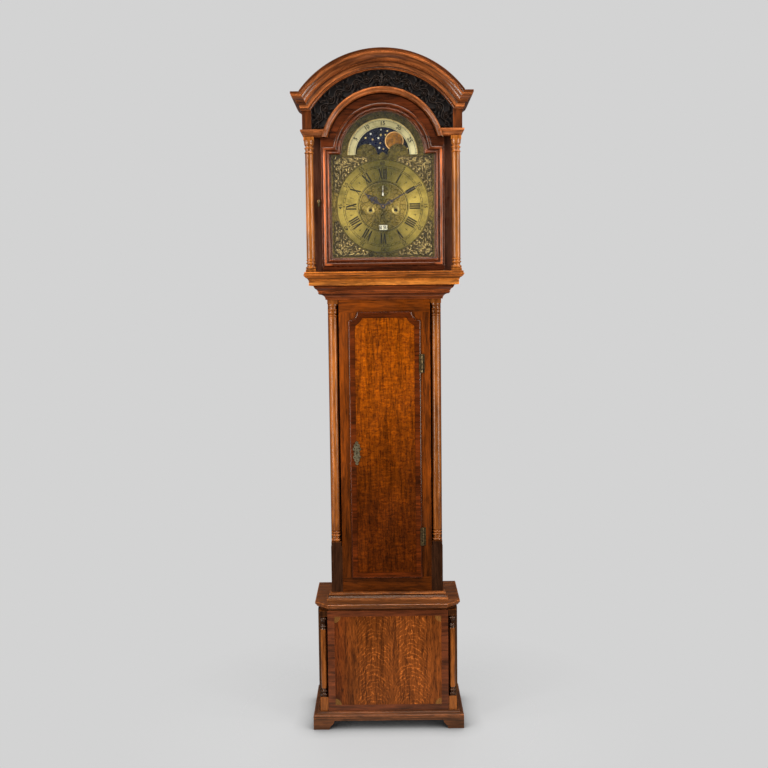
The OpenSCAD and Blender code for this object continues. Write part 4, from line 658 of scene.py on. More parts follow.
def makeSunburstGroup():
    inputs = [("Vector", "Vector", None), ("Color", "Color", (1, 1, 1, 1)), ("PaintedSheen", "Color", (1, 1, 1, 1)),
              ("Strength", "Float", 0.6)]
    group, given, wanted = newGroup("painted_sheen", inputs, [("Color", "Color"), ("Rings", "Float")])
    parts = splitPlace(group, given["Vector"])
    angle = calc(group, "ARCTAN2", parts["Z"], parts["X"])
    wave = calc(group, "MULTIPLY_ADD", calc(group, "COSINE", product(group, angle, 2.0)), 0.5, 0.5)
    cloud = remap(group, noise(group, given["Vector"], 26.0, 3.0), 0.3, 0.62, 0.35, 1.0)
    # painted sheen, strongest to the left and right of the centre
    share = product(group, wave, given["Strength"], cloud)
    group.links.new(blendColor(group, share, given["Color"], given["PaintedSheen"]), wanted["Color"])
    radius = lengthOf(group, parts["X"], parts["Z"])
    group.links.new(calc(group, "SINE", product(group, radius, 9000.0)), wanted["Rings"])
    return group


paintedSheenGroup = makeSunburstGroup()


def engravedScrolls(tree, place, scale):
    # 1 in the cuts: a spiral in each cell of a warped pattern, and thin stems between the cells
    warp = addNode(tree, "ShaderNodeTexNoise", {"Vector": place, "Scale": 45.0, "Detail": 2.0})
    bent = vectorCalc(tree, "MULTIPLY_ADD", warp.outputs["Color"], (0.02, 0.02, 0.02), place)
    cells = {"Vector": bent, "Scale": scale}
    stem = addNode(tree, "ShaderNodeTexVoronoi", cells, feature="DISTANCE_TO_EDGE").outputs["Distance"]
    middle = addNode(tree, "ShaderNodeTexVoronoi", cells).outputs["Position"]
    away = splitPlace(tree, vectorCalc(tree, "SUBTRACT", bent, middle))
    reach = lengthOf(tree, away["X"], away["Z"])
    around = calc(tree, "DIVIDE", calc(tree, "ARCTAN2", away["Z"], away["X"]), 2 * math.pi)
    coil = calc(tree, "FRACT", calc(tree, "MULTIPLY_ADD", reach, 3.6 * scale, around))
    line = remap(tree, offMiddle(tree, coil, 0.5), 0.2, 0.08)
    line = product(tree, line, remap(tree, reach, 0.62 / scale, 0.5 / scale))
    return calc(tree, "MAXIMUM", line, remap(tree, stem, 0.09, 0.03))


def makeDialFace(kind, label, sheenColor, strength, centreZ, engraving=0.0):
    metal = metals[kind]
    material, tree, shader, place = newMaterial(label, Metallic=metal["metal"], Specular_IOR_Level=0.1)
    centred = stretch(tree, place, (1, 1, 1), (-dialX, 0, -centreZ))
    spots = noise(tree, place, metal["spots"], 5.0, 0.6)
    color = mottled(tree, spots, 0.32, 0.7, metal["dark"], metal["light"])
    sheenAndRings = placeGroup(tree, paintedSheenGroup, {"Vector": centred, "Color": color, "PaintedSheen": paint(*sheenColor),
                                             "Strength": strength})
    color, height = sheenAndRings["Color"], sheenAndRings["Rings"]
    if engraving:
        cut = engravedScrolls(tree, place, engraving)
        color = toned(tree, cut, color, (0.34, 0.34, 0.26))
        height = calc(tree, "SUBTRACT", product(tree, height, 0.2), cut)
    rough = remap(tree, spots, 0.3, 0.7, metal["rough"] * 1.2, metal["rough"] * 0.85)
    finishSurface(tree, shader, color, rough, height, 0.00005, 0.1)
    return material


def makePaint(label, light, dark, spots, rough=0.45, rim=None, **constants):
    # a rim has its own colour where the piece's relief is high
    material, tree, shader, place = newMaterial(label, **constants)
    mottle = noise(tree, place, spots, 5.0, 0.6)
    color = mottled(tree, mottle, 0.35, 0.68, dark, light)
    if rim:
        color = blendColor(tree, reliefMask(tree, 0.2, 1.0), color, paint(*rim))
    uneven = remap(tree, mottle, 0.3, 0.7, rough * 0.8, rough * 1.2)
    finishSurface(tree, shader, color, uneven, mottle, 0.0001, 0.3)
    return material


def makeCastGilt():
    # cast corners: gilded leaves over a dark ground
    material, tree, shader, place = newMaterial("cast_gilt", Metallic=0.75)
    spots = noise(tree, place, 420.0, 3.0, 0.65)
    gold = mottled(tree, spots, 0.42, 0.58, (72, 53, 18), (214, 184, 112))
    ground = mottled(tree, spots, 0.42, 0.6, (34, 28, 12), (104, 84, 38))
    color = blendColor(tree, reliefMask(tree, 0.3, 0.62), ground, gold)
    rough = remap(tree, spots, 0.3, 0.7, 0.4, 0.24)
    finishSurface(tree, shader, color, rough, noise(tree, place, 700.0, 2.0), 0.0002, 0.4)
    return material


def makeGlass():
    # clear old glass; light that only passes through it to the dial isn't stopped
    material, tree, shader, place = newMaterial("crown_glass", Transmission_Weight=1.0, Metallic=0.0,
                                                IOR=1.45, Base_Color=(0.96, 0.98, 0.96, 1))
    shadowRay = addNode(tree, "ShaderNodeLightPath").outputs["Is Shadow Ray"]
    tree.links.new(calc(tree, "MULTIPLY_ADD", shadowRay, -0.94, 1.0), shader.inputs["Alpha"])
    ripple = noise(tree, place, 9.0, 1.0)
    tree.links.new(remap(tree, ripple, 0.3, 0.7, 0.0, 0.02), shader.inputs["Roughness"])
    return material


materials = {
    "caseOak": makeWood("case_oak"),
    "side": makeWood("side", shade=lowerTrunkShade),
    "stile": makeWood("stile", shade=lowerTrunkShade, rails=trunkRails),
    "trunkDoor": makeDoorWood(trunkDoor),
    "frame": makeWood("frame", "across", 0.3),
    "hoodDoor": makeWood("hood_door", rubAndHighlight=0.8, rails=hoodDoorRails, highlightCrest=hoodDoorCrest),
    "hoodBoard": makeWood("hood_board", shift=1.7, dirtAndShade=0.4),
    "trunkLip": makeWood("hood_door", shift=2.6, rubAndHighlight=0.35),
    "hoodColumn": makeWood("hood_column"),
    "trunkColumn": makeWood("column", shade=columnBlockShade),
    "baseColumn": makeWood("column", shift=2.1, shade=columnEndShade),
    "cornice": makeArchedWood("cornice", archedMouldings["outer"]),
    "archMoulding": makeArchedWood("cornice", archedMouldings["inner"], 1.1),
    "fascia": makeLevelWood("fascia"),
    "throat": makeLevelWood("throat"),
    "slab": makeLevelWood("slab"),
    "plinth": makeWood("feet", "across", 1.0, shift=0.8),
    "feet": makeWood("feet", "across", 0.6),
    "panel": makePanelOak(basePanel),
    "carving": makeCarving(),
    "dialPlate": makeDialFace("dial_brass", "dial_plate_face", (172, 142, 66), 0.8, dialZ, 52.0),
    "chapterRing": makeDialFace("ring_brass", "chapter_ring_face", (190, 162, 76), 1.0, dialZ),
    "lunarRing": makeDialFace("silvered", "lunar_ring_face", (222, 208, 158), 0.85, moonZ),
    "wax": makePaint("black_wax", (14, 11, 8), (5, 4, 3), 300.0, 0.6, Specular_IOR_Level=0.1),
    "sky": makePaint("night_sky", (9, 15, 42), (2, 3, 12), 40.0, 0.7, Specular_IOR_Level=0.03),
    "moonPaint": makePaint("moon_paint", (142, 90, 17), (60, 34, 5), 70.0, 0.5, rim=(206, 160, 96),
                           Specular_IOR_Level=0.1),
    "starWhite": makePaint("star_white", (214, 210, 190), (170, 166, 148), 200.0, 0.4),
    "starGold": makePaint("star_gold", (222, 196, 116), (170, 138, 64), 200.0, 0.4),
    "enamel": makePaint("date_white", (238, 232, 210), (214, 204, 176), 60.0, 0.35),
    "gut": makePaint("gut_line", (168, 132, 84), (120, 90, 56), 500.0, 0.5),
    "lead": makePaint("weight_brass", (176, 144, 78), (120, 94, 50), 40.0, 0.35, Metallic=0.9),
    "castGilt": makeCastGilt(),
    "glass": makeGlass(),
}
materials.update({kind: makeMetal(kind) for kind in metals if kind not in dialOnly})
print("materials made:", len(materials))


# CAD nodes and the finish that each gets

finishes = {
    "caseOak": ["backboard", "base_boards", "seatboard", "hood_roof"],
    "side": ["trunk_sides", "hood_sides"],
    "stile": ["trunk_front_frame"],
    "trunkDoor": ["trunk_door"],
    "frame": ["base_front_frame"],
    "panel": ["base_front_panel"],
    "hoodDoor": ["hood_door_frame"],
    "hoodBoard": ["hood_front_board"],
    "hoodColumn": ["hood_columns"],
    "trunkColumn": ["trunk_columns"],
    "baseColumn": ["base_columns"],
    "cornice": ["hood_cornice"],
    "archMoulding": ["arch_moulding"],
    "fascia": ["hood_base_moulding"],
    "throat": ["throat_moulding"],
    "slab": ["base_top_mouldings"],
    "plinth": ["plinth_moulding"],
    "feet": ["bracket_feet"],
    "carving": ["frieze_fret"],
    "dialPlate": ["dial_plate"],
    "chapterRing": ["chapter_ring"],
    "lunarRing": ["lunar_ring"],
    "castGilt": ["dial_spandrels"],
    "sky": ["moon_disc"],
    "enamel": ["date_ring"],
    "glass": ["hood_door_glass"],
    "fitting_brass": ["escutcheon"],
    "hinge_iron": ["trunk_hinge_leaves", "door_hinge_leaves"],
    "bright_brass": ["hood_door_catch"],
    "movement_brass": ["movement_frame", "centre_wheel", "minute_wheel", "hour_wheel", "third_wheel",
                       "escape_wheel", "going_great_wheel", "strike_great_wheel", "going_barrel",
                       "strike_barrel", "pin_wheel", "warning_wheel", "strike_fly", "pendulum"],
    "bell_bronze": ["bell"],
    "iron": ["trunk_lock", "lock_bolt", "hammer", "pallets"],
    "blued_steel": ["minute_hand", "hour_hand"],
    "pale_steel": ["seconds_hand"],
    "lead": ["going_weight", "strike_weight"],
    "gut": ["going_line", "strike_line"],
}
for finish, names in finishes.items():
    for name in names:
        mesh = nodes[name].data
        mesh.materials.clear()
        mesh.materials.append(materials[finish])
unpainted = sorted(set(nodes) - {name for names in finishes.values() for name in names})
print("nodes without a finish:", unpainted)


# Floor and backdrop: the floor fades into the same pale grey, so no line shows

studio = {"grey": (211, 211, 211), "floor": (126, 126, 126), "glow": (166, 166, 166), "floorReach": 1.5,
          "fadeFrom": 0.25, "fadeTo": 0.9, "worldLight": 0.42, "mirrored": 0.07, "lampAim": (0, 0, 1.15),
          "shadows": ((0.075, 0.2, 0.97), (0.3, 0.02, 0.22)), "shadowTone": 0.1}


def makeFloor(values):
    reach = values["floorReach"]
    mesh = bpy.data.meshes.new("floor")
    mesh.from_pydata([(-reach, -reach, 0), (reach, -reach, 0), (reach, reach, 0), (-reach, reach, 0)],
                     [], [(0, 1, 2, 3)])
    floor = bpy.data.objects.new("floor", mesh)
    bpy.context.scene.collection.objects.link(floor)
    material, tree, shader, place = newMaterial("pale_floor", Roughness=0.9, Specular_IOR_Level=0.1,
                                                Emission_Strength=1.0)
    # a part of the light is the floor's own glow, so the lamps' shadows stay faint; the contact shadow is
    # painted, darkening colour and glow where the clock closes the floor in
    lit = 1.0
    for distance, closed, clear in values["shadows"]:
        lit = product(tree, remap(tree, openness(tree, distance, 8), closed, clear), lit)
    for tone, socket in (("floor", "Base Color"), ("glow", "Emission Color")):
        dark = paint(*(values["shadowTone"] * part for part in values[tone]))
        tree.links.new(blendColor(tree, lit, dark, paint(*values[tone])), shader.inputs[socket])
    away = vectorCalc(tree, "LENGTH", place, output="Value")
    tree.links.new(remap(tree, away, values["fadeTo"], values["fadeFrom"]), shader.inputs["Alpha"])
    mesh.materials.append(material)


def makeWorld(values):
    # the camera sees the plain grey, the clock gets less light from it, and mirrors it only faintly
    world = bpy.data.worlds.new("studio")
    bpy.context.scene.world = world
    world.use_nodes = True
    tree = world.node_tree
    shader = tree.nodes["Background"]
    shader.inputs["Color"].default_value = paint(*values["grey"])
    path = addNode(tree, "ShaderNodeLightPath").outputs
    seen = calc(tree, "MAXIMUM", path["Is Camera Ray"], path["Is Transmission Ray"])
    glossy = path["Is Glossy Ray"]
    lit = calc(tree, "MULTIPLY_ADD", glossy, values["mirrored"],
               product(tree, rest(tree, glossy), values["worldLight"]))
    tree.links.new(calc(tree, "MAXIMUM", seen, lit), shader.inputs["Strength"])


def makeSoftbox(name, place, aim, width, height, power, mirrored):
    data = bpy.data.lights.new(name, "AREA")
    data.shape = "RECTANGLE"
    data.size = width
    data.size_y = height
    data.energy = power
    lamp = bpy.data.objects.new(name, data)
    bpy.context.scene.collection.objects.link(lamp)
    lamp.location = place
    lamp.visible_glossy = mirrored
    toward = np.array(aim) - np.array(place)
    lamp.rotation_euler = (math.pi / 2 + math.atan2(toward[2], math.hypot(toward[0], toward[1])), 0,
                           math.atan2(toward[1], toward[0]) - math.pi / 2)


lamps = {
    "leftBox": {"place": (-2.2, -2.0, 1.6), "size": (0.6, 2.6), "power": 60.0},
    "rightBox": {"place": (2.3, -1.9, 1.6), "size": (0.6, 2.6), "power": 52.0},
    "leftStrip": {"place": (-1.5, -0.55, 1.5), "size": (0.16, 2.2), "power": 10.0},
    "rightStrip": {"place": (1.5, -0.55, 1.5), "size": (0.16, 2.2), "power": 10.0},
    "topBox": {"place": (0.0, -1.15, 3.7), "size": (2.4, 0.9), "power": 50.0},
    "backBox": {"place": (0.0, 2.4, 2.0), "size": (1.6, 2.2), "power": 40.0, "mirrored": False},
}
makeFloor(studio)
makeWorld(studio)
for lampName, lamp in lamps.items():
    makeSoftbox(lampName, lamp["place"], studio["lampAim"], *lamp["size"], lamp["power"],
                lamp.get("mirrored", True))
bpy.context.scene.view_settings.view_transform = "Standard"
print("studio ready")


# Mesh building for the pieces that replace or dress CAD nodes

def makeObject(name, points, faces, finish, body, smooth=True, mergeAt=0.0):
    mesh = bpy.data.meshes.new(name)
    mesh.from_pydata(np.asarray(points).tolist(), [], faces)
    builder = bmesh.new()
    builder.from_mesh(mesh)
    if mergeAt:
        bmesh.ops.remove_doubles(builder, verts=builder.verts, dist=mergeAt)
    bmesh.ops.recalc_face_normals(builder, faces=builder.faces)
    builder.to_mesh(mesh)
    builder.free()
    mesh.polygons.foreach_set("use_smooth", np.full(len(mesh.polygons), smooth))
    mesh.materials.append(materials[finish])
    piece = bpy.data.objects.new(name, mesh)
    bpy.context.scene.collection.objects.link(piece)
    if body:
        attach(piece, body)
    return piece


def makeTubes(name, tubes, finish, body, rings=False, smooth=True, mergeAt=0.0):
    # each tube is a grid of points whose rows close on themselves; its ends are capped, or joined to a ring
    faces, count = [], 0
    for tube in tubes:
        index = np.arange(tube.shape[0] * tube.shape[1]).reshape(tube.shape[:2]) + count
        count += index.size
        if not rings:
            faces += [index[0].tolist(), index[-1, ::-1].tolist()]
        nextRow = np.roll(index, -1, axis=0) if rings else index[1:]
        index = index[:len(nextRow)]
        corners = [index, nextRow, np.roll(nextRow, -1, axis=1), np.roll(index, -1, axis=1)]
        faces += np.stack(corners, -1).reshape(-1, 4).tolist()
    points = np.concatenate([tube.reshape(-1, 3) for tube in tubes])
    return makeObject(name, points, faces, finish, body, smooth, mergeAt)


def upright(flat, placeY):
    # rows of x and z as points at one depth
    return np.stack([flat[..., 0], np.full(flat.shape[:-1], placeY), flat[..., 1]], -1)


def circle(steps, high=2 * np.pi):
    # angles of evenly spaced points round a circle
    return np.linspace(0, high, steps, endpoint=False)


def withBack(front, backY):
    # a grid of points seen from the front, with each row led round behind it at backY
    back = front[:, [-1, 0]]
    back[..., 1] = backY
    return np.concatenate([front, back], 1)


def tint(piece, values):
    # one number per point, read in materials as the attribute relief
    layer = piece.data.attributes.new("relief", "FLOAT", "POINT")
    layer.data.foreach_set("value", np.asarray(values, dtype=np.float32).ravel())


def smoothByAngle(piece, limit=0.7):
    # smooth shading, broken where two faces meet at more than the limit in radians
    builder = bmesh.new()
    builder.from_mesh(piece.data)
    for edge in builder.edges:
        edge.smooth = edge.calc_face_angle(0) < limit
    builder.to_mesh(piece.data)
    builder.free()
    piece.data.polygons.foreach_set("use_smooth", np.full(len(piece.data.polygons), True))


# Ornament as heights from 0 to 1 over arrays of flat positions; each shape has its own place and angle

def leafRelief(flatX, flatZ, foot, angle, length, width, bend=0.25, lobes=3):
    # a leaf with round lobes on its edge, a sunk midrib and slanting veins, bent to one side
    turn = math.radians(angle)
    awayX, awayZ = flatX - foot[0], flatZ - foot[1]
    along = awayX * math.cos(turn) + awayZ * math.sin(turn)
    across = awayZ * math.cos(turn) - awayX * math.sin(turn)
    share = np.clip(along / length, 0, 1)
    across = across - bend * length * share ** 2
    outline = np.sin(np.pi * share ** 0.8) ** 0.7 * (1 - 0.3 * np.abs(np.sin(np.pi * lobes * share)))
    half = width * outline + 1e-6
    inside = np.clip(1 - (across / half) ** 2, 0, 1)
    rib = 1 - 0.45 * np.exp(-(across / (0.13 * width)) ** 2)
    veins = 1 - 0.16 * np.sin(2 * np.pi * (along + 0.8 * np.abs(across)) / (0.2 * length)) ** 2
    return np.where((along > 0) & (along < length), np.sqrt(inside) * rib * veins, 0)


def scrollRelief(flatX, flatZ, middle, radius, pitch, hand=1, start=0.0):
    # a band wound as an even spiral round its middle, with a knob in the centre
    awayX, awayZ = flatX - middle[0], flatZ - middle[1]
    away = np.hypot(awayX, awayZ)
    turn = np.arctan2(awayZ, awayX) * hand / (2 * np.pi) + start
    wave = np.cos(np.pi * (away / pitch - turn)) ** 2
    fade = np.clip((radius - away) / (0.25 * pitch), 0, 1)
    knob = np.sqrt(np.clip(1 - (away / (0.75 * pitch)) ** 2, 0, 1))
    return np.maximum(wave ** 1.6 * fade * (away > 0.5 * pitch), knob)


def bandRelief(distance, half):
    # a round stem of that half width
    return np.sqrt(np.clip(1 - (distance / half) ** 2, 0, 1))


def highest(first, *others):
    for other in others:
        first = np.maximum(first, other)
    return first


# Carved frieze: two vines run from the middle to the ends, with scrolls and lobed leaves on a sunk ground

carving = {"columns": 110, "rows": 900, "archZ": 1.8811, "innerR": 0.1948, "outerR": 0.2648, "outerZ": 1.8636,
           "reach": 73.6, "middleR": 0.2284, "ground": 0.0075, "edge": 0.0015, "wave": 0.066, "stem": 0.0017,
           "stemHeight": 0.75, "swing": 0.2, "edgeHeight": 0.55, "edgeFade": 0.002, "inset": 0.0002,
           "toolMarks": (0.04, 2600, 3100), "scrolls": 11, "scroll": (0.0118, 0.0046), "scrollUp": 0.004,
           "scrollStart": 0.2, "leafFoot": 0.012, "leafBend": 0.3, "backFoot": (-0.010, 0.013),
           "backLeaf": (62, 0.018, 0.0036, 0.4),
           "leaves": ((75, 0.021, 0.0036), (30, 0.019, 0.0032), (120, 0.018, 0.0032), (-20, 0.016, 0.0028)),
           "centreLeaves": (((-0.001, -0.020), 86, 0.042, 0.0045, 0.0, 5),
                            ((0.001, -0.018), 44, 0.022, 0.004, 0.4))}


def makeFrieze(values):
    archZ = values["archZ"]
    angle = np.radians(np.linspace(-1, 1, values["rows"]) * values["reach"])
    sine, cosine = np.sin(angle), np.cos(angle)
    floorLine = np.where(cosine > 1e-6, (fretLow[2] - archZ) / np.maximum(cosine, 1e-6), 0)
    inner = np.maximum(values["innerR"], floorLine)
    lift = archZ - values["outerZ"]
    outer = -lift * cosine + np.sqrt(values["outerR"] ** 2 - (lift * sine) ** 2)
    outer = np.minimum(outer, fretHigh[0] / np.maximum(np.abs(sine), 1e-6))
    wide = (outer - inner)[:, None]
    radius = inner[:, None] + wide * np.linspace(0, 1, values["columns"])

    # along is the distance from the middle over the arch, mirrored; up runs across the band
    along = np.abs(angle)[:, None] * values["middleR"] * np.ones_like(radius)
    up = radius - (inner + outer)[:, None] / 2
    turns = 2 * np.pi / values["wave"]
    swing = values["swing"] * wide
    path = swing * np.sin(turns * along)
    slope = swing * turns * np.cos(turns * along)
    relief = values["stemHeight"] * bandRelief((up - path) / np.sqrt(1 + slope ** 2), values["stem"])
    backAlong, backUp = values["backFoot"]
    backTurn, *backSize, backBend = values["backLeaf"]
    for number in range(values["scrolls"]):
        middle = (number + 0.5) * values["wave"] / 2
        side = 1 if number % 2 else -1
        height = side * values["scrollUp"]
        relief = highest(relief, scrollRelief(along, up, (middle, height), *values["scroll"], side,
                                              values["scrollStart"]))
        for turn, long, half in values["leaves"]:
            foot = (middle + values["leafFoot"] * math.cos(math.radians(turn)),
                    height + side * values["leafFoot"] * math.sin(math.radians(turn)))
            relief = highest(relief, leafRelief(along, up, foot, side * turn, long, half,
                                                side * values["leafBend"]))
        foot = (middle + backAlong, -side * backUp)
        relief = highest(relief, leafRelief(along, up, foot, -side * backTurn, *backSize, -side * backBend))
    relief = highest(relief, *(leafRelief(along, up, *leaf) for leaf in values["centreLeaves"]))
    edge = np.minimum((radius - inner[:, None]), (outer[:, None] - radius))
    fade = np.clip((edge - values["edge"]) / values["edgeFade"], 0, 1)
    relief = np.where(edge < values["edge"], values["edgeHeight"], relief * fade)
    deep, alongRate, upRate = values["toolMarks"]
    tool = deep * np.sin(along * alongRate) * np.sin(up * upRate)
    relief = np.clip(relief + tool * (relief < 0.1), 0, 1)
    faceY = fretLow[1] + values["inset"] + values["ground"] * (1 - relief)
    front = np.stack([radius * sine[:, None], faceY, archZ + radius * cosine[:, None]], -1)
    piece = makeTubes("carvedFrieze", [withBack(front, fretHigh[1])], "carving", "hood")
    tint(piece, np.pad(relief, ((0, 0), (0, 2))))
    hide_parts("frieze_fret")


makeFrieze(carving)
print("frieze carved")


# Corner castings of the dial: pierced scrolls and leaves, alike about each diagonal

casting = {"rows": 190, "columns": 96, "from": 17.0, "ringGap": 0.0018, "border": 0.0028, "base": 0.00035,
           "scrolls": (((0.036, 0.017), 0.0092, 0.0042, 1), ((0.058, 0.0105), 0.0076, 0.0036, -1),
                       ((0.078, 0.0075), 0.0058, 0.003, 1), ((0.019, 0.008), 0.006, 0.0032, -1)),
           "leaves": (((0.022, 0.026), -30, 0.018, 0.0026, 0.5), ((0.034, 0.030), 20, 0.016, 0.0024, -0.5),
                      ((0.044, 0.020), 35, 0.013, 0.0022, -0.5), ((0.046, 0.005), -8, 0.014, 0.002, 0.4),
                      ((0.064, 0.015), 12, 0.013, 0.0022, -0.4), ((0.066, 0.004), 8, 0.012, 0.0018, 0.4),
                      ((0.084, 0.006), 20, 0.012, 0.002, -0.3), ((0.092, 0.004), 0, 0.012, 0.0018, 0.1),
                      ((0.026, 0.003), 4, 0.016, 0.002, 0.3), ((0.040, 0.036), 60, 0.012, 0.0022, 0.4)),
           "cornerRing": (0.0085, 0.0016, 0.9), "cornerLeaf": ((0.019, 0.019), 45, 0.026, 0.0042, 0.0, 3),
           "fan": (9, 27, 45, 63, 81), "fanFoot": (0.010, 0.010), "fanLeaf": (0.017, 0.0026, 0.0, 2),
           "curls": 11, "curlOut": 0.0062, "curlEnds": 3, "curl": (0.0040, 0.0024),
           "bud": (0.011, 0.0018), "budBend": 0.5, "budOut": 0.003, "budAlong": 0.02, "budLean": 30}


def makeSpandrels(values):
    low, high = edges("dial_spandrels")
    reach = high[0] - dialX - values["border"]
    angle = np.radians(np.linspace(values["from"], 90 - values["from"], values["rows"]))
    inner = ringOuter + values["ringGap"]
    outer = np.minimum(reach / np.cos(angle), reach / np.sin(angle))
    radius = inner + (outer - inner)[:, None] * np.linspace(0, 1, values["columns"])
    flatX, flatZ = radius * np.cos(angle)[:, None], radius * np.sin(angle)[:, None]
    fromSide, fromEnd = reach - flatX, reach - flatZ
    ringAway, ringHalf, ringHeight = values["cornerRing"]
    parts = [bandRelief(np.hypot(fromSide, fromEnd) - ringAway, ringHalf) * ringHeight,
             leafRelief(fromSide, fromEnd, *values["cornerLeaf"])]
    for first, second in ((fromSide, fromEnd), (fromEnd, fromSide)):
        parts += [scrollRelief(first, second, *scroll) for scroll in values["scrolls"]]
        parts += [leafRelief(first, second, *leaf, 2) for leaf in values["leaves"]]
    for turn in values["fan"]:
        parts.append(leafRelief(fromSide, fromEnd, values["fanFoot"], turn, *values["fanLeaf"]))
    # a running row of curls and buds along the chapter ring
    out = ringOuter + values["curlOut"]
    firstTurn = values["from"] + values["curlEnds"]
    turns = np.linspace(firstTurn, 90 - firstTurn, values["curls"])
    for number, turn in enumerate(np.radians(turns)):
        hand = 1 if number % 2 else -1
        middle = (out * math.cos(turn), out * math.sin(turn))
        parts.append(scrollRelief(flatX, flatZ, middle, *values["curl"], hand))
        budOut, budTurn = out + values["budOut"], turn + values["budAlong"]
        foot = (budOut * math.cos(budTurn), budOut * math.sin(budTurn))
        lean = math.degrees(turn) + values["budLean"] * hand
        parts.append(leafRelief(flatX, flatZ, foot, lean, *values["bud"], values["budBend"] * hand, 2))
    relief = np.clip(highest(*parts), 0, 1)
    faceY = plateFront - values["base"] - (plateFront - low[1] - values["base"] - 0.00005) * relief
    corners = [withBack(np.stack([dialX + signX * flatX, faceY, dialZ + signZ * flatZ], -1), plateFront)
               for signX in (-1, 1) for signZ in (-1, 1)]
    piece = makeTubes("castSpandrels", corners, "castGilt", "case")
    tint(piece, np.tile(np.pad(relief, ((0, 0), (0, 2))), (4, 1)))
    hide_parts("dial_spandrels")


makeSpandrels(casting)
print("dial corners cast")


# Painted marks: every stroke is a thin bar, held as rows of x, z, x, z and width

def makeBars(name, bars, surfaceY):
    bars = np.asarray(bars)
    start, end, width = bars[:, 0:2], bars[:, 2:4], bars[:, 4:5]
    direction = (end - start) / np.linalg.norm(end - start, axis=1, keepdims=True)
    side = np.stack([-direction[:, 1], direction[:, 0]], -1) * width / 2
    flat = np.stack([start - side, start + side, end + side, end - side], 1)
    boxes = np.stack([upright(flat, surfaceY - 0.00006), upright(flat, surfaceY + 0.00024)], 1)
    return makeTubes(name, boxes, "wax", "case", smooth=False)


def turnFlat(points, angle):
    # clockwise about the origin, as the hours go
    sine, cosine = math.sin(angle), math.cos(angle)
    return np.stack([points[..., 0] * cosine + points[..., 1] * sine,
                     points[..., 1] * cosine - points[..., 0] * sine], -1)


chapter = {"numeralMiddle": 0.1023, "numeralHeight": 0.0325, "thick": 0.0046, "thin": 0.0021, "serif": 0.0014,
           "serifHalf": 0.0028, "widths": {"I": 0.0067, "V": 0.0132, "X": 0.0148}, "halfHours": 0.1043,
           "halfHour": ((0, -0.006, 0, 0.006, 0.0009), (-0.0028, 0.001, 0.0028, 0.001, 0.0009),
                        (-0.0014, 0.0036, 0.0014, 0.0036, 0.0018)),
           "minuteTrack": (0.1228, 0.1283), "quarterTrack": (0.0783, 0.0819), "minuteFigures": 0.1372,
           "figureHeight": 0.0118, "secondsUp": 0.048, "secondsRadius": 0.0255,
           "secondsLong": (0.004, 0.0022), "bold": 0.0024, "fine": 0.0011, "finest": 0.0007,
           "secondsLine": 0.0006, "rim": (0.0012, 0.0014)}


def numeralStrokes(letters, values):
    # upright bars for I, slanted pairs for V and X, with serifs; the middle of the numeral is at the origin
    half, serif = values["numeralHeight"] / 2, values["serifHalf"]
    strokes = []
    left = -sum(values["widths"][letter] for letter in letters) / 2
    for letter in letters:
        width = values["widths"][letter]
        middle = left + width / 2
        left += width
        spread = 0 if letter == "I" else width / 2 - serif
        foot = 0 if letter == "V" else spread
        strokes.append((middle + foot, -half, middle - spread, half, values["thick"]))
        if spread:
            strokes.append((middle - foot, -half, middle + spread, half, values["thin"]))
        for stem in sorted({middle - spread, middle + spread}):
            for end in (half,) if letter == "V" else (-half, half):
                strokes.append((stem - serif, end, stem + serif, end, values["serif"]))
    return strokes


def turnedBars(bars, radius, angle):
    # bars drawn round the origin, set at that radius of the dial
    bars = np.array(bars, dtype=float)
    lifted = bars[:, :4].reshape(-1, 2, 2) + np.array([0, radius])
    placed = turnFlat(lifted, angle) + np.array([dialX, dialZ])
    return np.concatenate([placed.reshape(-1, 4), bars[:, 4:5]], 1)


def tickBars(middleZ, turns, low, high, width):
    # straight ticks that point away from the middle, at those turns from the top
    outward = np.stack([np.sin(turns), np.cos(turns)], -1)
    low, high, width = (np.broadcast_to(value, turns.shape)[:, None] for value in (low, high, width))
    middle = np.array([dialX, middleZ])
    return np.concatenate([middle + outward * low, middle + outward * high, width], 1)


def circleBars(middleZ, radius, width, count, turns=(0, 2 * np.pi)):
    # a circle, or the part of it between two turns from the top, as short bars
    turn = np.linspace(*turns, count + 1)
    line = np.stack([dialX + radius * np.sin(turn), middleZ + radius * np.cos(turn)], -1)
    return np.concatenate([line[:-1], line[1:], np.full((count, 1), width)], 1)


def makeChapterMarks(values):
    marks = []
    hours = ["XII", "I", "II", "III", "IIII", "V", "VI", "VII", "VIII", "IX", "X", "XI"]
    for hour, letters in enumerate(hours):
        marks.append(turnedBars(numeralStrokes(letters, values), values["numeralMiddle"], hour * math.pi / 6))
        marks.append(turnedBars(values["halfHour"], values["halfHours"], (hour + 0.5) * math.pi / 6))
    minutes, fifth = circle(60), np.arange(60) % 5 == 0
    bold, fine = values["bold"], values["fine"]
    rimIn, rimWide = values["rim"]
    low, high = values["minuteTrack"]
    innerLow, innerHigh = values["quarterTrack"]
    marks.append(tickBars(dialZ, minutes, low, high, np.where(fifth, bold, fine)))
    marks.append(tickBars(dialZ, circle(48), innerLow, innerHigh, values["finest"]))
    for radius, wide, count in ((low, fine, 180), (high, fine, 180), (innerLow, bold, 120),
                                (innerHigh, fine, 120), (ringOuter - rimIn, rimWide, 180)):
        marks.append(circleBars(dialZ, radius, wide, count))
    makeBars("ringMarks", np.concatenate(marks), ringFront)
    edge, long = values["secondsRadius"], np.where(fifth, *values["secondsLong"])
    seconds = tickBars(dialZ + values["secondsUp"], minutes, edge - long, edge, values["secondsLine"])
    makeBars("secondsMarks", seconds, plateFront - 0.001)


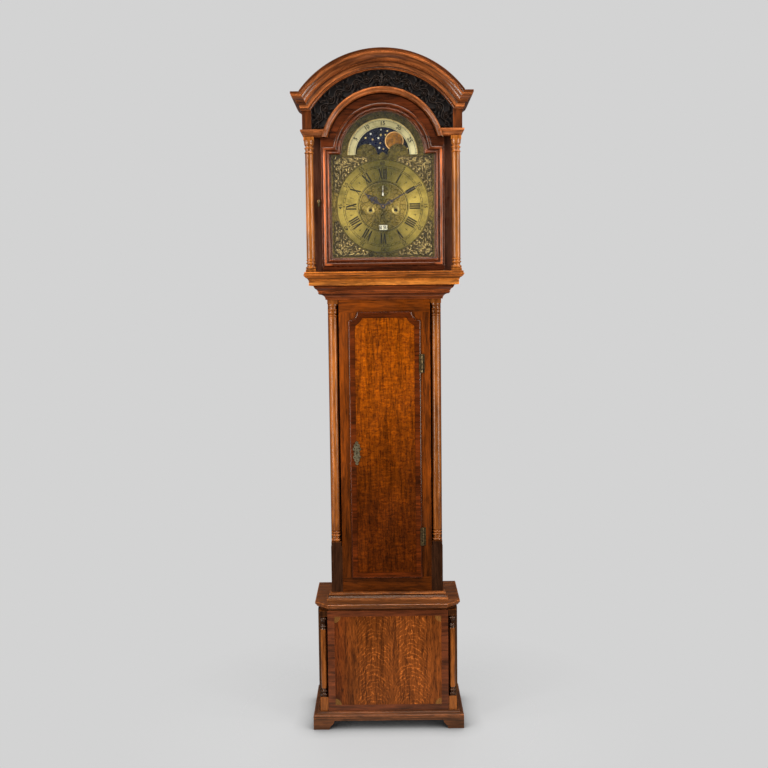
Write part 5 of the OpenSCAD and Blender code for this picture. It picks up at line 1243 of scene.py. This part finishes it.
def figureMesh(text, height, bold):
    # points and faces of upright figures, their middle at the origin, facing -Y
    curve = bpy.data.curves.new("figure", "FONT")
    curve.body = text
    curve.size = height / 0.72  # a figure's share of the font's size
    curve.extrude = 0.00015
    curve.offset = bold
    curve.resolution_u = 3
    curve.align_x = "CENTER"
    curve.align_y = "CENTER"
    holder = bpy.data.objects.new("figure", curve)
    bpy.context.scene.collection.objects.link(holder)
    bpy.context.view_layer.update()
    mesh = bpy.data.meshes.new_from_object(holder.evaluated_get(bpy.context.evaluated_depsgraph_get()))
    flat = np.array([vertex.co for vertex in mesh.vertices])
    faces = [list(polygon.vertices) for polygon in mesh.polygons]
    bpy.data.objects.remove(holder)
    bpy.data.curves.remove(curve)
    bpy.data.meshes.remove(mesh)
    flat[:, :2] -= (flat[:, :2].min(0) + flat[:, :2].max(0)) / 2
    return flat, faces


def makeFigures(name, numbers, turns, radius, middleZ, height, surfaceY, body="case",
                bold=0.0002):
    # numbers on a circle round the dial's middle line, each turned with its place
    points, faces, count = [], [], 0
    for number, turn in zip(numbers, turns):
        flat, own = figureMesh(str(number), height, bold)
        middle = (dialX + radius * math.sin(turn), middleZ + radius * math.cos(turn))
        turned = turnFlat(flat[:, :2], turn) + middle
        points.append(np.stack([turned[:, 0], surfaceY + 0.00008 - flat[:, 2], turned[:, 1]], -1))
        faces += [[vertex + count for vertex in face] for face in own]
        count += len(flat)
    makeObject(name, np.concatenate(points), faces, "wax", body, smooth=False, mergeAt=0.000002)


makeChapterMarks(chapter)
makeFigures("minuteFigures", range(5, 61, 5), np.arange(1, 13) * np.pi / 6, chapter["minuteFigures"], dialZ,
            chapter["figureHeight"], ringFront)
print("chapter ring marked")


# Moon dial: age figures round its arch, stars and two painted moons on the disc behind

moonDial = {"bead": 0.0015, "month": 29.5, "figureRadius": 0.0992, "figureHeight": 0.0122,
            "tickEnd": 0.1112, "circles": (0.0898, 0.1062), "moonRadius": 0.0298, "moonOut": 0.0576,
            "moonTurn": 48.6, "stars": 44, "starSize": 0.0032, "starApart": 0.0125, "moonApart": 0.004,
            "starBand": (0.018, 0.084), "skyHalf": 0.085, "notch": 0.45, "larger": 1.35, "seed": 8,
            "tickLong": (0.0045, 0.0025), "tickWide": 0.0010, "circleWide": 0.0009,
            "dome": 0.55, "rise": 0.0009,
            "humps": ((0.2, 0, -0.02, 0.07, 0.2), (0.12, -0.38, -0.16, 0.16, 0.14),
                      (0.12, 0.38, -0.16, 0.16, 0.14), (-0.2, -0.3, 0.2, 0.13, 0.07),
                      (-0.2, 0.3, 0.2, 0.13, 0.07), (-0.16, 0, -0.42, 0.24, 0.035),
                      (0.1, 0, -0.5, 0.2, 0.05))}
lunarLow, lunarHigh = edges("lunar_ring")
moonTurns = [math.radians(moonDial["moonTurn"] + half) for half in (0, 180)]
moonMiddles = [moonDial["moonOut"] * np.array([math.cos(turn), math.sin(turn)]) for turn in moonTurns]


def makeLunarFigures(values):
    ages = np.arange(5, 30, 5)
    makeFigures("moonAges", ages, np.pi * (ages / values["month"] - 0.5), values["figureRadius"], moonZ,
                values["figureHeight"], lunarLow[1], bold=0.0005)
    halfDays = np.arange(1, 2 * values["month"])
    long = np.where(halfDays % 2 == 0, *values["tickLong"])
    turns = np.pi * (halfDays / (2 * values["month"]) - 0.5)
    bars = [tickBars(moonZ, turns, values["tickEnd"] - long, values["tickEnd"], values["tickWide"])]
    for radius in values["circles"]:
        bars.append(circleBars(moonZ, radius, values["circleWide"], 120, (-0.5 * np.pi, 0.5 * np.pi)))
    makeBars("moonTicks", np.concatenate(bars), lunarLow[1])


def makeMoons(values):
    # each moon is a low dome with a plain face: brow hollows, nose, cheeks and mouth as soft humps
    share = np.linspace(0, 1, 40)[:, None]
    around = circle(96)
    faceX, faceZ = share * np.cos(around), share * np.sin(around)
    height = values["dome"] * np.sqrt(np.clip(1 - share ** 2, 0, 1)) + 0 * faceX
    for rise, atX, atZ, wideX, wideZ in values["humps"]:
        height = height + rise * np.exp(-((faceX - atX) / wideX) ** 2 - ((faceZ - atZ) / wideZ) ** 2)
    domes = []
    for middle, lean in zip(moonMiddles, (0.0, math.pi)):
        flat = turnFlat(np.stack([faceX, faceZ], -1), lean) * values["moonRadius"] + middle + (dialX, moonZ)
        dome = upright(flat, 0)
        dome[..., 1] = discFront - 0.0001 - values["rise"] * height
        domes.append(np.concatenate([dome, upright(flat[-1:], discFront + 0.00005)]))
    piece = makeTubes("moonFaces", domes, "moonPaint", "moon_disc", mergeAt=0.0000005)
    placed = np.array([vertex.co for vertex in piece.data.vertices])[:, [0, 2]] - (dialX, moonZ)
    away = np.min([np.linalg.norm(placed - middle, axis=1) for middle in moonMiddles], 0)
    tint(piece, np.clip((away / values["moonRadius"] - 0.86) / 0.1, 0, 1))


def makeStars(values):
    # six-pointed stars scattered over the sky, kept clear of both moons and of each other
    random = np.random.default_rng(values["seed"])
    placed = []
    nearest, farthest = values["starBand"]
    moonReach = values["moonRadius"] + values["moonApart"]
    while len(placed) < values["stars"]:
        spot = random.uniform(-values["skyHalf"], values["skyHalf"], 2)
        clearMoons = all(np.linalg.norm(spot - moon) > moonReach for moon in moonMiddles)
        clearStars = all(np.linalg.norm(spot - other) > values["starApart"] for other in placed)
        if nearest < np.linalg.norm(spot) < farthest and clearMoons and clearStars:
            placed.append(spot)
    placed = np.array(placed)
    point = np.arange(12)
    reach = np.where(point % 2 == 0, 1.0, values["notch"]) * values["starSize"]
    for name, first, finish in (("goldStars", 0, "starGold"), ("whiteStars", 1, "starWhite")):
        chosen = placed[first::2]
        turns = random.uniform(0, np.pi, len(chosen))[:, None] + point * np.pi / 6
        size = np.where(np.arange(len(chosen)) % 3 == 0, values["larger"], 1.0)[:, None]
        flat = np.stack([np.cos(turns), np.sin(turns)], -1) * (size * reach)[..., None]
        flat = flat + chosen[:, None] + (dialX, moonZ)
        stars = np.stack([upright(flat, discFront - 0.0003), upright(flat, discFront + 0.00005)], 1)
        makeTubes(name, stars, finish, "moon_disc", smooth=False)


def makeAgeBead(values):
    # half a ring of round wire: the turn runs over the arch, around runs round the wire
    turn = np.linspace(0, np.pi, 121)[:, None]
    around = circle(12)
    reach = (lunarHigh[0] - lunarLow[0]) / 2 + values["bead"] * np.cos(around)
    depth = lunarLow[1] + 0.0002 + values["bead"] * np.sin(around) + 0 * turn
    wire = np.stack([dialX + reach * np.cos(turn), depth, moonZ + reach * np.sin(turn)], -1)
    makeTubes("moonDialBead", [wire], "bead_gold", "case")


makeLunarFigures(moonDial)
makeAgeBead(moonDial)
makeMoons(moonDial)
makeStars(moonDial)
print("moon dial painted")


# Date figures on the ring behind the dial, upright when they reach the opening below the centre

datePrint = {"radius": 0.0672, "height": 0.0118, "bold": 0.00045}
days = np.arange(1, 32)
makeFigures("dateFigures", days, 2 * np.pi * (days - 15) / 31, -datePrint["radius"], dialZ,
            datePrint["height"], edges("date_ring")[0][1], "date_ring", datePrint["bold"])
print("date printed")


# Turned rings round the winding holes

windingRing = {"holes": (0.0406, -0.0115), "from": 0.0060, "to": 0.0124, "height": 0.0007, "ribs": 3}


def makeTurnedRings(values):
    # closed profile of rounded ribs over a flat back, carried round a circle
    share = np.linspace(0, 1, 25)
    profileR = values["from"] + (values["to"] - values["from"]) * share
    profileH = values["height"] * (0.45 + 0.55 * np.abs(np.sin(values["ribs"] * np.pi * share)))
    profileR = np.append(profileR, profileR[[-1, 0]])
    profileH = np.append(profileH, [0.0, 0.0])
    around = circle(72)[:, None]
    rings = [np.stack([dialX + side * values["holes"][0] + profileR * np.cos(around),
                       plateFront - profileH + 0 * around,
                       dialZ + values["holes"][1] + profileR * np.sin(around)], -1) for side in (-1, 1)]
    makeTubes("windingRings", rings, "turned_brass", "case", rings=True)


makeTurnedRings(windingRing)
print("winding holes ringed")


# Gut lines: twisted cords from the seatboard down to the pulleys

gutLine = {"radius": 0.00078, "twist": 0.006, "rings": 60, "sides": 12}


def makeGutLine(values, node):
    low, high = edges(node)
    radius = values["radius"]
    around = circle(values["sides"])
    heights = np.linspace(low[2], high[2], values["rings"])[:, None]
    size = radius * (0.86 + 0.14 * np.cos(3 * (around - 2 * np.pi * heights / values["twist"])))
    middleY = (low[1] + high[1]) / 2
    falls = (low[0] + radius, high[0] - radius)
    wideX, wideY = size * np.cos(around), size * np.sin(around)
    tubes = [np.stack([middleX + wideX, middleY + wideY, heights + 0 * size], -1) for middleX in falls]
    piece = makeTubes(node + "Cord", tubes, "gut", None)
    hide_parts(node)
    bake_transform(piece)


makeGutLine(gutLine, "going_line")
makeGutLine(gutLine, "strike_line")
print("lines hung")


# Hood door: one moulding profile carried round the sight, out to the door's own arched outline

hoodDoor = {"springZ": 1.8716, "rail": 0.039, "thick": 0.017, "glassLap": 0.005, "rebate": 0.0053,
            "rebateDepth": 0.0072, "flat": 0.0152, "edgeRound": 0.0018, "quirk": 0.0012,
            "beads": ((0.0036, 0.0032, 0.0030), (0.0166, 0.0054, 0.0035)), "reach": 0.0242,
            "outerRadius": 0.175, "shoulder": 0.041, "shoulderSight": 0.001, "pinRadius": 0.002,
            "pinInset": 0.004, "pinLength": 0.015, "counts": {"side": 12, "corner": 14, "arch": 150}}


def archOutline(half, lowZ, shoulderZ, radius, centreZ, counts):
    # closed line of x, z rows: foot, right side, right shoulder, arch, left shoulder, left side
    cornerX = math.sqrt(radius ** 2 - (shoulderZ - centreZ) ** 2)
    begin = math.asin((shoulderZ - centreZ) / radius)
    turn = np.linspace(begin, math.pi - begin, counts["arch"])[:-1]
    right = [(-half, lowZ), (half, lowZ), (half, shoulderZ), (cornerX, shoulderZ)]
    left = [(-cornerX, shoulderZ), (-half, shoulderZ), (-half, lowZ)]
    steps = (counts["side"], counts["side"], counts["corner"])

    def straight(ends, steps):
        return [np.linspace(*pair, count, endpoint=False) for *pair, count in zip(ends, ends[1:], steps)]

    arch = np.stack([radius * np.cos(turn), centreZ + radius * np.sin(turn)], -1)
    return np.concatenate([*straight(right, steps), arch, *straight(left, steps[:0:-1])])


def makeHoodDoor(values):
    low, high = edges("hood_door_frame")
    glassLow, glassHigh = edges("hood_door_glass")
    backY, springZ, lap = high[1], values["springZ"], values["glassLap"]
    sightHalf = (glassHigh[0] - glassLow[0]) / 2 - lap
    sightLow = glassLow[2] + lap
    sightRadius = glassHigh[2] - lap - springZ
    outerHalf = (high[0] - low[0]) / 2
    outerCentre = high[2] - values["outerRadius"]
    outerShoulder = outerCentre + values["shoulder"]

    def sightRow(grow, depth):
        # the sight's outline grown outwards by grow, at that depth in front of the back
        shoulder = springZ - values["shoulderSight"] + grow
        flat = archOutline(sightHalf + grow, sightLow - grow, shoulder, sightRadius + grow, springZ,
                           values["counts"])
        return upright(flat, backY - depth)

    def outerRow(shrink, depth):
        # the door's own outline drawn in by shrink
        foot = sightLow - values["rail"] + shrink
        flat = archOutline(outerHalf - shrink, foot, outerShoulder - shrink, values["outerRadius"] - shrink,
                           outerCentre, values["counts"])
        return upright(flat, backY - depth)

    # height across the profile: two round beads, each between two sunk quirks
    flat, across = values["flat"], np.linspace(0, values["reach"], 60)
    height = np.full_like(across, flat)
    for middle, half, rise in values["beads"]:
        height = np.maximum(height, flat + rise * bandRelief(across - middle, half))
        height = height - values["quirk"] * np.exp(-((np.abs(across - middle) - half - 0.0004) / 0.0006) ** 2)
    rows = [sightRow(values["rebate"], 0), sightRow(values["rebate"], values["rebateDepth"]),
            sightRow(0, values["rebateDepth"])]
    rows += [sightRow(grow, depth) for grow, depth in zip(across, height)]
    bends = np.linspace(0, math.pi / 2, 6)
    bevel = values["edgeRound"]
    rows += [outerRow(bevel * (1 - math.sin(bend)), flat - bevel * (1 - math.cos(bend))) for bend in bends]
    rows.append(outerRow(0, 0))
    piece = makeTubes("hoodDoorFrame", [np.stack(rows)], "hoodDoor", "hood_door", rings=True,
                      smooth=False)
    # each bead's crest, where the door's painted highlight goes
    highlightCrest = (height - flat) / max(rise for middle, half, rise in values["beads"])
    highlightCrest = np.pad(np.clip(highlightCrest, 0, 1), (3, len(bends) + 1))
    tint(piece, np.repeat(highlightCrest, len(rows[0])))
    smoothByAngle(piece)
    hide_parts("hood_door_frame")

    # the two pins the door turns on, at its lower and upper right corners
    around, long = circle(24), values["pinLength"]
    pinX = high[0] - values["pinInset"] + values["pinRadius"] * np.cos(around)
    pinY = backY - values["thick"] + values["pinInset"] + values["pinRadius"] * np.sin(around)
    pins = [np.stack([np.stack([pinX, pinY, np.full(24, height)], -1) for height in (foot, foot + long)])
            for foot in (low[2], outerShoulder - long / 2)]
    makeTubes("hoodDoorPins", pins, "fitting_brass", "hood_door")


makeHoodDoor(hoodDoor)
print("hood door moulded")


# Trunk door lip: a smooth quarter round laid over the door's own lip, broken where the hinges sit

doorLip = {"scoop": 0.028, "width": 0.0047, "low": 0.0026, "high": 0.00612, "seat": 0.0012, "steps": 12,
           "hingeGap": 0.0004, "hingeLong": 0.060, "lipThick": 0.006}


def lipRow(inset, depth, ends, values):
    # the door's outline drawn in by inset, from above the upper hinge round to below the lower one
    half = (doorHigh[0] - doorLow[0]) / 2 - inset
    radius = values["scoop"] + inset
    bend = math.asin(inset / radius)
    turn = np.linspace(bend, math.pi / 2 - bend, 22)
    right = np.stack([half + inset - radius * np.sin(turn), doorHigh[2] - radius * np.cos(turn)], -1)
    left = right[::-1] * (-1, 1)
    foot = doorLow[2] + inset
    flat = np.concatenate([[[half, ends[0]]], right, left, [[-half, foot], [half, foot], [half, ends[1]]]])
    return upright(flat, depth)


def makeLip(values):
    hingeLow, hingeHigh = edges("door_hinge_leaves")
    faceY = doorLow[1] + values["lipThick"]  # the case's front face, which the lip laps over
    share = np.linspace(0, math.pi / 2, values["steps"])
    insets = np.append(0, values["width"] * (1 - np.cos(share)))
    rises = np.append(0.0004, values["low"] + (values["high"] - values["low"]) * np.sin(share))
    corner = [*zip(insets, faceY - rises), (insets[-1], faceY - values["seat"]), (0.0006, faceY - 0.0004)]
    gap, hinge = values["hingeGap"], values["hingeLong"]
    ends = (hingeHigh[2] + gap, hingeLow[2] - gap)
    long = np.stack([lipRow(inset, depth, ends, values) for inset, depth in corner], 1)
    heights = np.linspace(hingeHigh[2] - hinge - gap, hingeLow[2] + hinge + gap, 4)
    half = (doorHigh[0] - doorLow[0]) / 2
    short = np.array([[[half - inset, depth, height] for inset, depth in corner] for height in heights])
    piece = makeTubes("trunkDoorLip", [long, short], "trunkLip", "trunk_door", smooth=False)
    tint(piece, np.ones(len(piece.data.vertices)))
    smoothByAngle(piece)


makeLip(doorLip)
print("trunk door lipped")
